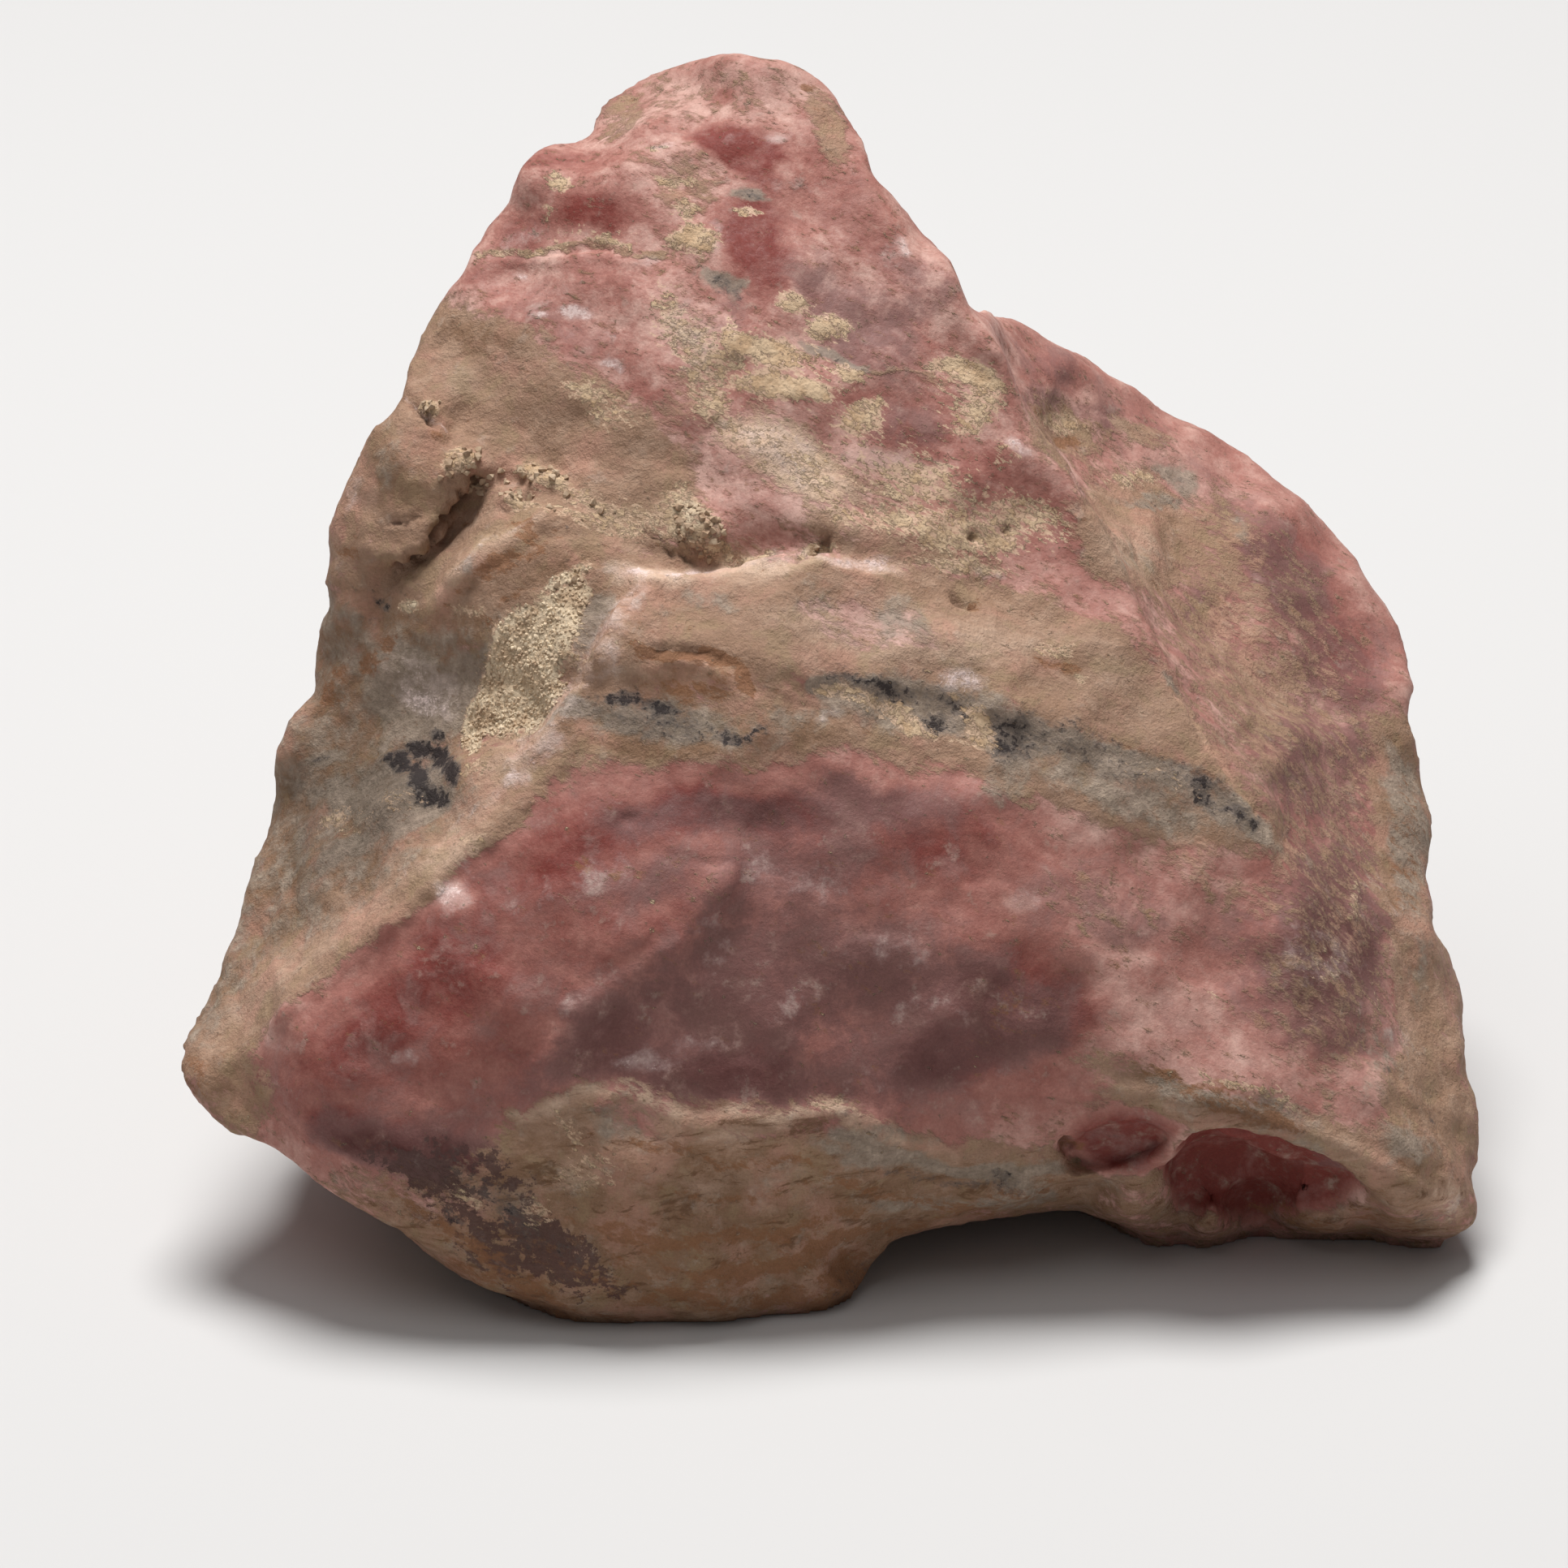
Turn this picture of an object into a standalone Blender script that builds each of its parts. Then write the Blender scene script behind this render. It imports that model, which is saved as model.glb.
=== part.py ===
"""A hand specimen of rough rhodochrosite: one broken stone, standing on its flattest fracture.

The stone is drawn in a display plane that leans back from the table by VIEW_TILT, which is how a
specimen is looked at. A corner is (across, up, out) in that plane, in millimetres: across runs to
the right, up runs up the plane, and out comes off the plane towards the viewer.
Corners of the hidden side are given as (across, back, height) above the table instead.
Two triangulated sheets, the shown side and the hidden side, share one outline and make a closed
cage. Subdivision rounds it, fracture relief roughens it, and the table plane cuts its foot flat.
"""

import math

import bmesh
import bpy
from mathutils import Vector, noise
from mathutils.geometry import delaunay_2d_cdt

MM = 0.001

# Driving dimensions
STONE_WIDTH = 64.0 * MM  # between the left tip and the lower right corner
DRAWN_WIDTH = 64.3  # the same distance in the corner lists below, in mm
VIEW_TILT = math.radians(25.0)  # lean of the display plane from the vertical
TABLE_UP = -23.8  # the table's distance below the middle of the display plane, in mm
FOOT_CUT = 0.35 * MM  # how much of the foot is worn flat
TARGET_TRIANGLES = 9000
SHORTEST_EDGE = 0.05 * MM

FIT_ROUNDS = 5  # passes that draw the rounded surface back through its corners
FIT_PULL = 0.7

# Relief that the whole surface carries, in mm
SWELL_SIZE, SWELL_HEIGHT = 8.0, 0.45
SCALLOP_SIZE, SCALLOP_HEIGHT = 5.0, 0.70
CHIP_SIZE, CHIP_HEIGHT = 2.4, 0.25
HIDDEN_SCALLOP_SIZE, HIDDEN_SCALLOP_HEIGHT = 13.0, 3.0
HIDDEN_EASING = 24  # smoothing passes over the hidden side, before its breaks are cut
RIM_RELIEF = 0.35  # share of the relief left along the outline, which has bumps of its own
FOOT_RELIEF = 0.15  # share of it left at the foot

SHARP, FIRM, SOFT = 1.0, 0.7, 0.4  # creases of the fracture edges

STONE_COLOUR = (0.42, 0.17, 0.15, 1.0)

# The outline as it is seen, clockwise from the peak
OUTLINE = [
    (-2.0, 36.7, -11.0), (1.6, 35.5, -10.5), (3.1, 33.3, -9.8), (4.5, 30.7, -9.0), (6.7, 27.7, -8.0),
    (9.3, 23.8, -6.5), (10.6, 23.7, -12.5), (13.4, 22.7, -18.0), (16.7, 21.0, -21.0), (19.8, 19.2, -21.5),
    (22.8, 17.5, -22.0), (25.2, 15.8, -22.0), (28.2, 12.9, -21.0), (30.2, 10.2, -20.0), (31.6, 7.2, -18.5),
    (31.8, 3.0, -16.0), (32.5, 0.2, -14.5), (32.2, -4.6, -11.0), (32.3, -7.2, -9.5), (33.3, -10.4, -7.5),
    (33.8, -14.0, -6.0), (34.7, -18.0, -5.0), (34.1, -19.4, -5.0), (34.3, -21.2, -5.0), (33.4, -22.3, -5.5),
    (31.6, -22.9, -6.0), (29.2, -22.4, -6.0), (23.2, -22.3, -6.5), (19.8, -22.9, -6.6), (17.2, -22.2, -6.0),
    (14.4, -20.9, -4.0), (9.0, -21.8, -2.0), (5.4, -22.4, -1.5), (3.9, -24.0, -0.5), (3.2, -25.2, 0.0),
    (-1.8, -26.2, 1.0), (-5.0, -26.5, 1.0), (-11.4, -25.8, 1.5), (-16.2, -23.7, 2.5), (-19.4, -21.6, 2.5),
    (-24.6, -18.1, 1.5), (-28.4, -16.2, -0.5), (-30.0, -13.5, -2.0), (-28.6, -10.6, -3.5), (-27.0, -6.2, -5.5),
    (-25.5, -1.6, -7.0), (-24.6, 2.4, -8.0), (-23.7, 4.6, -8.5), (-23.5, 6.7, -8.0), (-22.7, 8.8, -7.5),
    (-22.7, 11.8, -6.5), (-21.2, 15.8, -6.0), (-18.9, 19.0, -6.5), (-18.0, 22.4, -8.5), (-17.2, 24.2, -8.5),
    (-15.9, 25.4, -8.8), (-13.9, 29.0, -9.5), (-12.3, 32.0, -10.5), (-9.9, 32.7, -12.0), (-8.9, 34.7, -14.0),
    (-5.2, 36.4, -13.5),
]

# Fracture edges and valleys of the shown side: crease, then the corners along the line
SHOWN_LINES = {
    "cap edge": (SOFT, [(-9.9, 32.7, -12.0), (-6.4, 31.8, -7.5), (-3.0, 32.3, -7.5), (1.6, 35.5, -10.5)]),
    "right ridge": (FIRM, [
        (9.3, 23.8, -6.5), (11.5, 19.6, -4.0), (13.5, 16.4, -3.6), (15.3, 13.1, -3.2),
        (16.9, 10.2, -2.7), (19.0, 5.8, -1.6), (21.4, 2.2, -0.8), (23.4, -1.4, -0.3),
    ]),
    "right valley": (0.0, [
        (10.6, 23.7, -12.5), (12.3, 19.6, -12.0), (14.3, 16.2, -12.0), (16.2, 12.9, -9.6),
        (17.8, 9.9, -7.2), (19.9, 5.8, -4.4),
    ]),
    "crack upper lip": (SHARP, [
        (-19.6, 10.9, -2.7), (-17.6, 12.2, -2.1), (-15.8, 14.7, -2.1), (-14.6, 15.6, -2.4),
    ]),
    "crack floor": (0.0, [
        (-19.9, 10.3, -4.0), (-17.3, 11.8, -4.2), (-15.4, 14.3, -3.9), (-14.4, 15.0, -2.9),
    ]),
    "crack lower lip": (FIRM, [
        (-19.3, 9.8, -3.1), (-16.9, 11.4, -2.1), (-15.0, 13.7, -2.1), (-12.7, 14.2, -1.4),
    ]),
    "ledge slit": (0.0, [
        (-7.0, 11.8, 0.2), (-5.4, 11.1, 0.5), (-3.0, 10.9, 0.5), (0.2, 11.5, 0.1), (2.5, 12.3, -0.4),
    ]),
    "ledge lip": (FIRM, [
        (-8.4, 10.5, 1.4), (-5.4, 10.3, 1.5), (-3.0, 10.1, 1.4), (0.2, 10.8, 0.9), (2.9, 11.5, 0.2),
        (7.4, 10.3, -0.4), (13.2, 8.9, -1.4),
    ]),
    "ledge brow": (SOFT, [
        (-8.2, 6.0, 4.3), (-4.6, 6.8, 4.2), (-1.2, 6.2, 4.2), (1.4, 5.6, 4.6), (5.4, 5.2, 3.9),
        (9.4, 4.2, 3.0), (13.4, 3.0, 2.2), (17.4, 1.9, 1.3), (20.6, 0.9, 0.3),
    ]),
    "vein recess": (0.0, [
        (-8.4, 4.6, 4.1), (-4.6, 4.6, 4.2), (-1.0, 4.2, 4.4), (1.6, 4.0, 4.5), (5.4, 3.9, 3.8),
        (9.4, 2.9, 2.9), (13.4, 1.8, 2.2), (17.4, 0.8, 1.3), (20.6, -0.4, 0.5),
    ]),
    "left ridge": (SHARP, [
        (-8.4, 10.5, 1.4), (-9.3, 7.0, 2.9), (-10.9, 4.2, 3.3), (-13.2, 1.4, 3.3), (-16.0, -1.2, 3.2),
        (-18.8, -4.0, 2.9), (-21.6, -6.8, 2.4), (-25.0, -10.0, 1.2), (-28.0, -12.4, -0.3),
    ]),
    "bevel edge": (SHARP, [
        (-8.4, 4.6, 4.1), (-11.4, 1.2, 5.0), (-14.2, -2.0, 5.6), (-17.2, -4.8, 5.6), (-20.8, -8.4, 5.1),
        (-24.8, -11.9, 3.6), (-27.4, -13.9, 1.8),
    ]),
    "foot brow": (FIRM, [
        (-27.0, -15.6, 1.8), (-24.7, -17.2, 3.4), (-20.6, -17.9, 5.4), (-15.4, -17.2, 6.5),
        (-9.8, -15.6, 7.0), (-4.6, -16.0, 6.8), (3.0, -16.3, 5.8), (8.6, -16.0, 4.9), (13.4, -15.2, 4.5),
        (17.4, -15.5, 4.3), (21.4, -16.8, 4.0), (25.4, -18.1, 3.3), (29.6, -19.8, 2.0), (32.8, -21.0, -1.0),
    ]),
    "right edge": (SOFT, [
        (20.6, -0.4, 0.5), (22.0, -4.4, 1.3), (24.2, -6.4, 1.4), (25.4, -8.8, 1.6), (27.4, -13.0, 2.0),
        (29.6, -16.2, 1.9), (32.4, -18.6, 0.4),
    ]),
    "chip edge": (FIRM, [
        (-9.8, -2.4, 6.5), (-3.4, -2.8, 6.6), (-2.4, -4.2, 6.9), (-4.4, -6.2, 7.2), (-6.0, -8.4, 7.4),
        (-11.4, -12.0, 7.5),
    ]),
    "chip foot": (0.0, [
        (-2.0, -2.2, 6.0), (-1.2, -4.6, 6.2), (-3.2, -7.1, 6.6), (-4.8, -9.5, 6.8), (-9.6, -13.4, 7.0),
    ]),
    "hollow rim": (SHARP, [
        (13.0, -17.8, 2.8), (15.0, -16.7, 3.5), (17.6, -16.2, 3.8), (20.6, -17.3, 3.6), (23.6, -18.3, 3.0),
        (26.6, -19.6, 1.9),
    ]),
    "hollow rib": (FIRM, [(13.4, -19.5, 1.6), (17.0, -18.7, 1.8), (20.6, -17.3, 3.6)]),
}

# Corners between those lines
SHOWN_POINTS = {
    "peak": [
        (-2.0, 34.4, -9.0), (-11.2, 29.4, -7.2), (-2.0, 30.8, -6.6), (2.6, 30.4, -7.0), (-6.6, 34.0, -11.5),
    ],
    "upper face": [
        (-10.6, 26.4, -5.8), (-14.4, 24.6, -6.6), (-6.6, 28.2, -5.4), (-1.4, 27.6, -4.6), (4.4, 26.6, -5.0),
        (7.2, 22.8, -4.0), (-12.6, 22.8, -4.4), (-8.2, 22.6, -3.4), (-3.4, 22.8, -2.5), (1.4, 22.4, -2.6),
        (6.2, 19.4, -2.6), (-14.8, 20.4, -4.6), (-10.6, 18.6, -2.6), (-6.2, 17.8, -1.8), (-1.8, 18.4, -1.4),
        (2.6, 17.2, -1.4), (8.6, 15.6, -2.0), (-11.4, 15.8, -2.1), (-7.6, 14.2, -0.9), (-3.0, 13.8, -0.2),
        (-6.0, 12.5, 0.3), (-4.1, 12.1, 0.6),
        (1.0, 14.0, -0.6), (5.6, 13.6, -1.0), (11.0, 12.4, -1.9), (-16.6, 17.6, -4.4),
    ],
    "left lump": [
        (-17.6, 18.2, -3.4), (-19.2, 15.0, -2.6), (-16.8, 15.6, -1.9), (-18.8, 12.2, -2.1), (-15.6, 17.2, -3.6),
        (-21.2, 12.4, -4.0),
    ],
    "left face": [
        (-20.8, 8.2, -4.2), (-17.8, 8.0, -1.4), (-14.6, 10.6, 0.1), (-11.0, 12.4, 0.1), (-11.6, 9.2, 1.1),
        (-20.4, 4.6, -3.8),
        (-17.2, 5.0, -1.7), (-13.8, 6.8, 0.7), (-12.6, 3.6, 1.5), (-22.6, 1.6, -5.4), (-19.4, 0.8, -1.9),
        (-16.0, 1.6, -0.4), (-22.6, -2.2, -3.0), (-19.4, -1.8, 0.1), (-25.0, -5.6, -3.4), (-22.4, -5.0, 0.4),
        (-26.4, -9.0, -2.0),
    ],
    "ledge face": [
        (-6.2, 8.6, 3.0), (-2.6, 8.4, 3.2), (1.6, 8.4, 2.8), (5.4, 8.0, 2.0), (9.8, 6.8, 1.4), (14.0, 5.8, 0.4),
        (17.6, 4.8, -0.2),
    ],
    "front face": [
        (-4.6, 1.2, 5.4), (1.4, 1.2, 5.2), (7.4, 0.4, 4.2), (13.4, -1.4, 3.2), (18.0, -2.8, 2.0), (-9.6, 1.4, 5.4),
        (5.4, -4.6, 5.6), (11.8, -5.8, 4.9), (17.4, -7.4, 3.6), (21.6, -9.4, 2.7), (-14.6, -7.4, 6.7),
        (-9.2, -6.4, 7.2), (1.0, -8.8, 6.2), (6.8, -10.4, 5.9), (12.6, -11.2, 5.2), (18.0, -12.4, 4.3),
        (23.6, -14.2, 3.3), (-20.6, -12.4, 5.8), (-15.2, -13.2, 7.0), (-24.0, -14.8, 4.2), (-4.6, -13.2, 6.9),
        (2.0, -13.4, 6.3), (8.2, -13.8, 5.4),
    ],
    "underside": [
        (-23.6, -18.2, 3.2), (-20.0, -20.4, 4.2), (-15.4, -20.8, 5.2), (-10.2, -20.4, 6.0), (-4.6, -20.6, 5.6),
        (1.4, -20.0, 4.6), (-10.6, -24.2, 4.0), (-4.6, -24.6, 3.8), (0.6, -23.6, 3.2), (6.0, -19.6, 3.0),
        (10.0, -19.0, 2.4), (3.6, -22.6, 1.4),
    ],
    "hollows": [
        (15.2, -17.9, -0.4), (17.6, -17.4, 0.2), (20.0, -19.7, -1.6), (23.2, -19.5, -2.2), (26.2, -20.4, -0.6),
        (17.0, -21.0, 0.2), (21.2, -21.5, -1.8), (26.0, -21.4, -1.2), (30.0, -21.3, 0.2),
    ],
    "right face": [
        (15.6, 18.2, -16.2), (19.0, 14.4, -15.4), (23.6, 12.0, -16.0), (20.4, 9.6, -12.0), (26.6, 7.6, -14.0),
        (23.4, 4.6, -9.2), (28.0, 2.8, -11.2), (25.0, -0.4, -4.4), (29.6, -2.4, -8.2), (26.4, -4.8, -1.4),
        (30.2, -7.8, -4.4), (27.8, -9.6, 0.2), (31.6, -13.0, -2.4), (29.6, -14.2, 1.0), (33.2, -17.4, -2.4),
        (24.2, 1.4, -3.4),
    ],
}

# The hidden side, as (across, back, height) above the table
FOOT_RING = [
    (-11.0, -8.4, -0.3), (-5.0, -9.6, -0.5), (0.6, -7.6, -0.5), (3.6, -2.0, -0.3), (8.6, 3.2, -0.1),
    (14.4, 3.0, -0.2), (19.4, -1.4, -0.5), (25.6, 0.2, -0.5), (30.8, -0.8, -0.5), (31.4, 5.0, -0.3),
    (28.6, 13.0, -0.4), (23.0, 21.0, -0.5), (13.0, 27.0, -0.4), (2.0, 29.0, -0.5), (-9.0, 25.0, -0.4),
    (-16.0, 16.0, -0.4), (-19.4, 6.0, -0.3), (-16.0, -2.5, -0.3),
]
HIDDEN_LINES = {
    "back rib": (FIRM, [(-3.0, 31.0, 46.5), (3.4, 34.6, 36.0), (5.0, 37.4, 24.0), (2.0, 37.0, 10.0)]),
    "left rib": (FIRM, [(-14.6, 28.0, 36.0), (-11.6, 30.4, 29.0), (-17.4, 24.4, 20.0), (-18.4, 21.6, 9.0)]),
    "right rib": (FIRM, [(18.0, 33.6, 24.6), (24.4, 30.0, 20.0), (28.0, 24.0, 11.0)]),
    "back step": (SOFT, [(5.0, 37.4, 24.0), (11.0, 34.4, 21.0), (20.4, 32.6, 12.0)]),
}
HIDDEN_POINTS = {
    "foot": [(-4.0, 0.0, 0.3), (1.0, 9.0, 0.7), (-8.0, 10.0, 0.4), (12.0, 10.0, 0.5), (22.0, 6.0, 0.3),
             (3.0, 19.0, 0.4), (15.0, 18.0, 0.2), (-7.0, 18.0, 0.0)],
    "back": [
        (-8.6, 30.0, 39.0), (-4.0, 35.0, 27.0), (11.0, 33.4, 29.0), (-8.6, 33.0, 13.0), (11.0, 35.0, 13.0),
        (-23.0, 14.6, 13.0), (-23.4, 9.6, 5.6), (-25.8, 4.4, 10.0), (-23.6, 1.0, 5.0), (32.6, 9.0, 8.0),
        (10.4, 30.2, 34.0), (31.4, 15.6, 15.0), (33.0, 2.0, 3.6), (-20.4, -2.0, 2.6),
        (-18.0, 24.0, 27.0), (7.8, 24.0, 40.0), (5.2, 24.6, 44.0), (-14.2, 25.0, 42.0), (-18.6, 18.0, 34.0),
    ],
}


def fromDisplay(corner):
    """A corner of the display plane in the stone's own frame, with the table at height 0."""
    across, up, out = corner
    back = up * math.sin(VIEW_TILT) - out * math.cos(VIEW_TILT)
    height = up * math.cos(VIEW_TILT) + out * math.sin(VIEW_TILT) - TABLE_UP
    return Vector((across, back, height))


def toDisplay(corner):
    """The display-plane coordinates of a corner given as (across, back, height)."""
    across, back, height = corner
    rise = height + TABLE_UP
    up = back * math.sin(VIEW_TILT) + rise * math.cos(VIEW_TILT)
    out = rise * math.sin(VIEW_TILT) - back * math.cos(VIEW_TILT)
    return (across, up, out)


class Sheet:
    """One side of the stone: its corners, and the creased lines between them."""

    def __init__(self):
        self.corners = []
        self.lines = []
        self.creases = {}

    def corner(self, place):
        """The index of a corner; corners that meet in the display plane are one."""
        for i, known in enumerate(self.corners):
            if abs(known[0] - place[0]) < 0.01 and abs(known[1] - place[1]) < 0.01:
                return i
        self.corners.append(place)
        return len(self.corners) - 1

    def line(self, crease, places, closed=False):
        ids = [self.corner(p) for p in places]
        for a, b in zip(ids, ids[1:] + ids[:1] if closed else ids[1:]):
            self.lines.append((a, b))
            self.creases[frozenset((a, b))] = crease

    def triangles(self):
        """A constrained triangulation, with every line kept as an edge."""
        flat = [Vector(c[:2]) for c in self.corners]
        rim = list(range(len(OUTLINE)))
        made = delaunay_2d_cdt(flat, self.lines, [rim], 1, 1e-5)
        points, _, faces, sources = made[:4]
        if len(points) != len(flat):
            raise ValueError("two lines of a sheet cross")
        return [[sources[i][0] for i in face] for face in faces]


def makeSheet(lines, points):
    sheet = Sheet()
    for corner in OUTLINE:
        sheet.corner(corner)
    for crease, places in lines.values():
        sheet.line(crease, places)
    for places in points.values():
        for place in places:
            sheet.corner(place)
    return sheet


def shownSheet():
    return makeSheet(SHOWN_LINES, SHOWN_POINTS)


def hiddenSheet():
    lines = {}
    for name, (crease, places) in HIDDEN_LINES.items():
        lines[name] = (crease, [toDisplay(p) for p in places])
    points = {name: [toDisplay(p) for p in places] for name, places in HIDDEN_POINTS.items()}
    sheet = makeSheet(lines, points)
    sheet.line(SOFT, [toDisplay(p) for p in FOOT_RING], closed=True)
    return sheet


def buildCage():
    """The closed cage of both sheets, in metres, with its creases."""
    bm = bmesh.new()
    crease = bm.edges.layers.float.new("crease_edge")
    rim = [bm.verts.new(fromDisplay(c)) for c in OUTLINE]
    for sheet, outward in ((shownSheet(), 1), (hiddenSheet(), -1)):
        verts = rim + [bm.verts.new(fromDisplay(c)) for c in sheet.corners[len(OUTLINE):]]
        for face in sheet.triangles():
            bm.faces.new([verts[i] for i in face[::outward]])
        for edge in bm.edges:
            edge.index = -1
        for pair, amount in sheet.creases.items():
            a, b = pair
            edge = bm.edges.get((verts[a], verts[b]))
            edge[crease] = amount
    bmesh.ops.recalc_face_normals(bm, faces=bm.faces)
    bmesh.ops.scale(bm, vec=Vector((STONE_WIDTH / DRAWN_WIDTH,) * 3), verts=bm.verts)
    mesh = bpy.data.meshes.new("cage")
    bm.to_mesh(mesh)
    bm.free()
    return mesh


def smooth(x):
    x = min(1.0, max(0.0, x))
    return x * x * (3.0 - 2.0 * x)


def scallops(place, size):
    """Dished breaks that meet in low ridges, one to each cell of the stone."""
    distances, centres = noise.voronoi(place / size)
    dishes = []
    for distance, centre in zip(distances, centres):
        lean = noise.cell_vector(centre) * 2.0 - Vector((1.0, 1.0, 1.0))
        level = 0.25 * noise.cell(centre + Vector((31.0, 17.0, 5.0)))
        dishes.append(level + 0.35 * (place / size - centre).dot(lean) + 1.2 * distance * distance)
    return min(dishes)


def relief(place):
    """How far the fractured surface stands out at a place, in mm."""
    swell = noise.noise(place / SWELL_SIZE, noise_basis="PERLIN_ORIGINAL") * SWELL_HEIGHT
    chips = noise.fractal(place / CHIP_SIZE, 1.0, 2.0, 3, noise_basis="PERLIN_ORIGINAL") * CHIP_HEIGHT
    return swell + (scallops(place, SCALLOP_SIZE) - 0.25) * SCALLOP_HEIGHT + chips


def evaluated(obj):
    graph = bpy.context.evaluated_depsgraph_get()
    return bpy.data.meshes.new_from_object(obj.evaluated_get(graph))


def facing(normal):
    """1 where the surface looks straight out of the display plane, -1 where it looks away."""
    return normal.dot(Vector((0.0, -math.cos(VIEW_TILT), math.sin(VIEW_TILT))))


def ringMiddle(vertex):
    around = [edge.other_vert(vertex).co for edge in vertex.link_edges]
    return sum(around, Vector()) / len(around)


def easeHiddenSide(mesh):
    """Relaxes the hidden side, which the outline's bumps would otherwise fold."""
    bm = bmesh.new()
    bm.from_mesh(mesh)
    easing = [(v, smooth(-facing(v.normal) / 0.5) * smooth(v.co.z / (6.0 * MM))) for v in bm.verts]
    easing = [(v, share) for v, share in easing if share > 0.0]
    for _ in range(HIDDEN_EASING):
        middles = [ringMiddle(vertex) for vertex, _ in easing]
        for (vertex, share), middle in zip(easing, middles):
            vertex.co = vertex.co.lerp(middle, 0.8 * share)
    bm.normal_update()
    bm.to_mesh(mesh)
    bm.free()


def standOut(place, normal):
    """The relief at one point, in mm. The outline and the foot carry less of it than the open faces."""
    out = facing(normal)
    rim = RIM_RELIEF + (1.0 - RIM_RELIEF) * smooth(abs(out) / 0.5)
    foot = FOOT_RELIEF + (1.0 - FOOT_RELIEF) * smooth(place.z / 4.0)
    hidden = smooth((-out - 0.15) / 0.6) * smooth(place.z / 6.0)
    breaks = (scallops(place, HIDDEN_SCALLOP_SIZE) - 0.75) * HIDDEN_SCALLOP_HEIGHT * hidden
    return relief(place) * min(rim, foot) + breaks


def roughen(mesh):
    """Moves each point along its normal by the relief there."""
    normals = [v.normal.copy() for v in mesh.vertices]
    moves = [standOut(v.co / MM, normal) * MM for v, normal in zip(mesh.vertices, normals)]
    for vertex, normal, move in zip(mesh.vertices, normals, moves):
        vertex.co += normal * move
    mesh.update()


def flattenFoot(mesh):
    """Cuts the foot by the table plane and closes the cut, so that the stone stands flat."""
    bm = bmesh.new()
    bm.from_mesh(mesh)
    everything = bm.verts[:] + bm.edges[:] + bm.faces[:]
    bmesh.ops.bisect_plane(bm, geom=everything, dist=1e-7, plane_co=(0, 0, FOOT_CUT), plane_no=(0, 0, -1),
                           clear_outer=True)
    cut = [e for e in bm.edges if e.is_boundary]
    bmesh.ops.triangle_fill(bm, edges=cut, use_beauty=True, use_dissolve=False)
    bmesh.ops.translate(bm, vec=(0, 0, -FOOT_CUT), verts=bm.verts)
    bmesh.ops.dissolve_degenerate(bm, edges=bm.edges, dist=SHORTEST_EDGE)
    bmesh.ops.triangulate(bm, faces=bm.faces)
    bmesh.ops.recalc_face_normals(bm, faces=bm.faces)
    bm.to_mesh(mesh)
    bm.free()


def centreOnFoot(mesh):
    """Puts the middle of the stone's extents over the origin, with the table at height 0."""
    xs = [v.co.x for v in mesh.vertices]
    ys = [v.co.y for v in mesh.vertices]
    middle = Vector(((min(xs) + max(xs)) / 2, (min(ys) + max(ys)) / 2, 0.0))
    for vertex in mesh.vertices:
        vertex.co -= middle
    mesh.update()
    print("drawn frame's origin is moved by", tuple(-middle))


def stoneMaterial():
    material = bpy.data.materials.new("rhodochrosite")
    material.use_nodes = True
    shader = material.node_tree.nodes["Principled BSDF"]
    shader.inputs["Base Color"].default_value = STONE_COLOUR
    shader.inputs["Roughness"].default_value = 0.55
    shader.inputs["Metallic"].default_value = 0.0
    return material


def fitThroughCorners(stone):
    """Moves the cage out until the rounded surface passes through the corners as drawn."""
    drawn = [v.co.copy() for v in stone.data.vertices]
    for _ in range(FIT_ROUNDS):
        rounded = evaluated(stone)
        for i, place in enumerate(drawn):
            stone.data.vertices[i].co += (place - rounded.vertices[i].co) * FIT_PULL
        bpy.data.meshes.remove(rounded)
        stone.data.update()


def makeStone():
    stone = bpy.data.objects.new("rhodochrosite_stone", buildCage())
    bpy.context.scene.collection.objects.link(stone)
    rounding = stone.modifiers.new("rounding", "SUBSURF")
    rounding.levels = rounding.render_levels = 3
    fitThroughCorners(stone)
    fine = evaluated(stone)
    stone.modifiers.clear()
    easeHiddenSide(fine)
    roughen(fine)
    stone.data = fine
    thinning = stone.modifiers.new("thinning", "DECIMATE")
    thinning.ratio = TARGET_TRIANGLES / (2 * len(fine.polygons))
    thinned = evaluated(stone)
    stone.modifiers.clear()
    flattenFoot(thinned)
    centreOnFoot(thinned)
    stone.data = thinned
    thinned.shade_smooth()
    thinned.materials.clear()
    thinned.materials.append(stoneMaterial())
    return stone


for old in list(bpy.data.objects):
    bpy.data.objects.remove(old)
makeStone()
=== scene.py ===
import math

import bmesh
import bpy
import numpy as np
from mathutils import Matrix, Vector, noise


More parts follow.
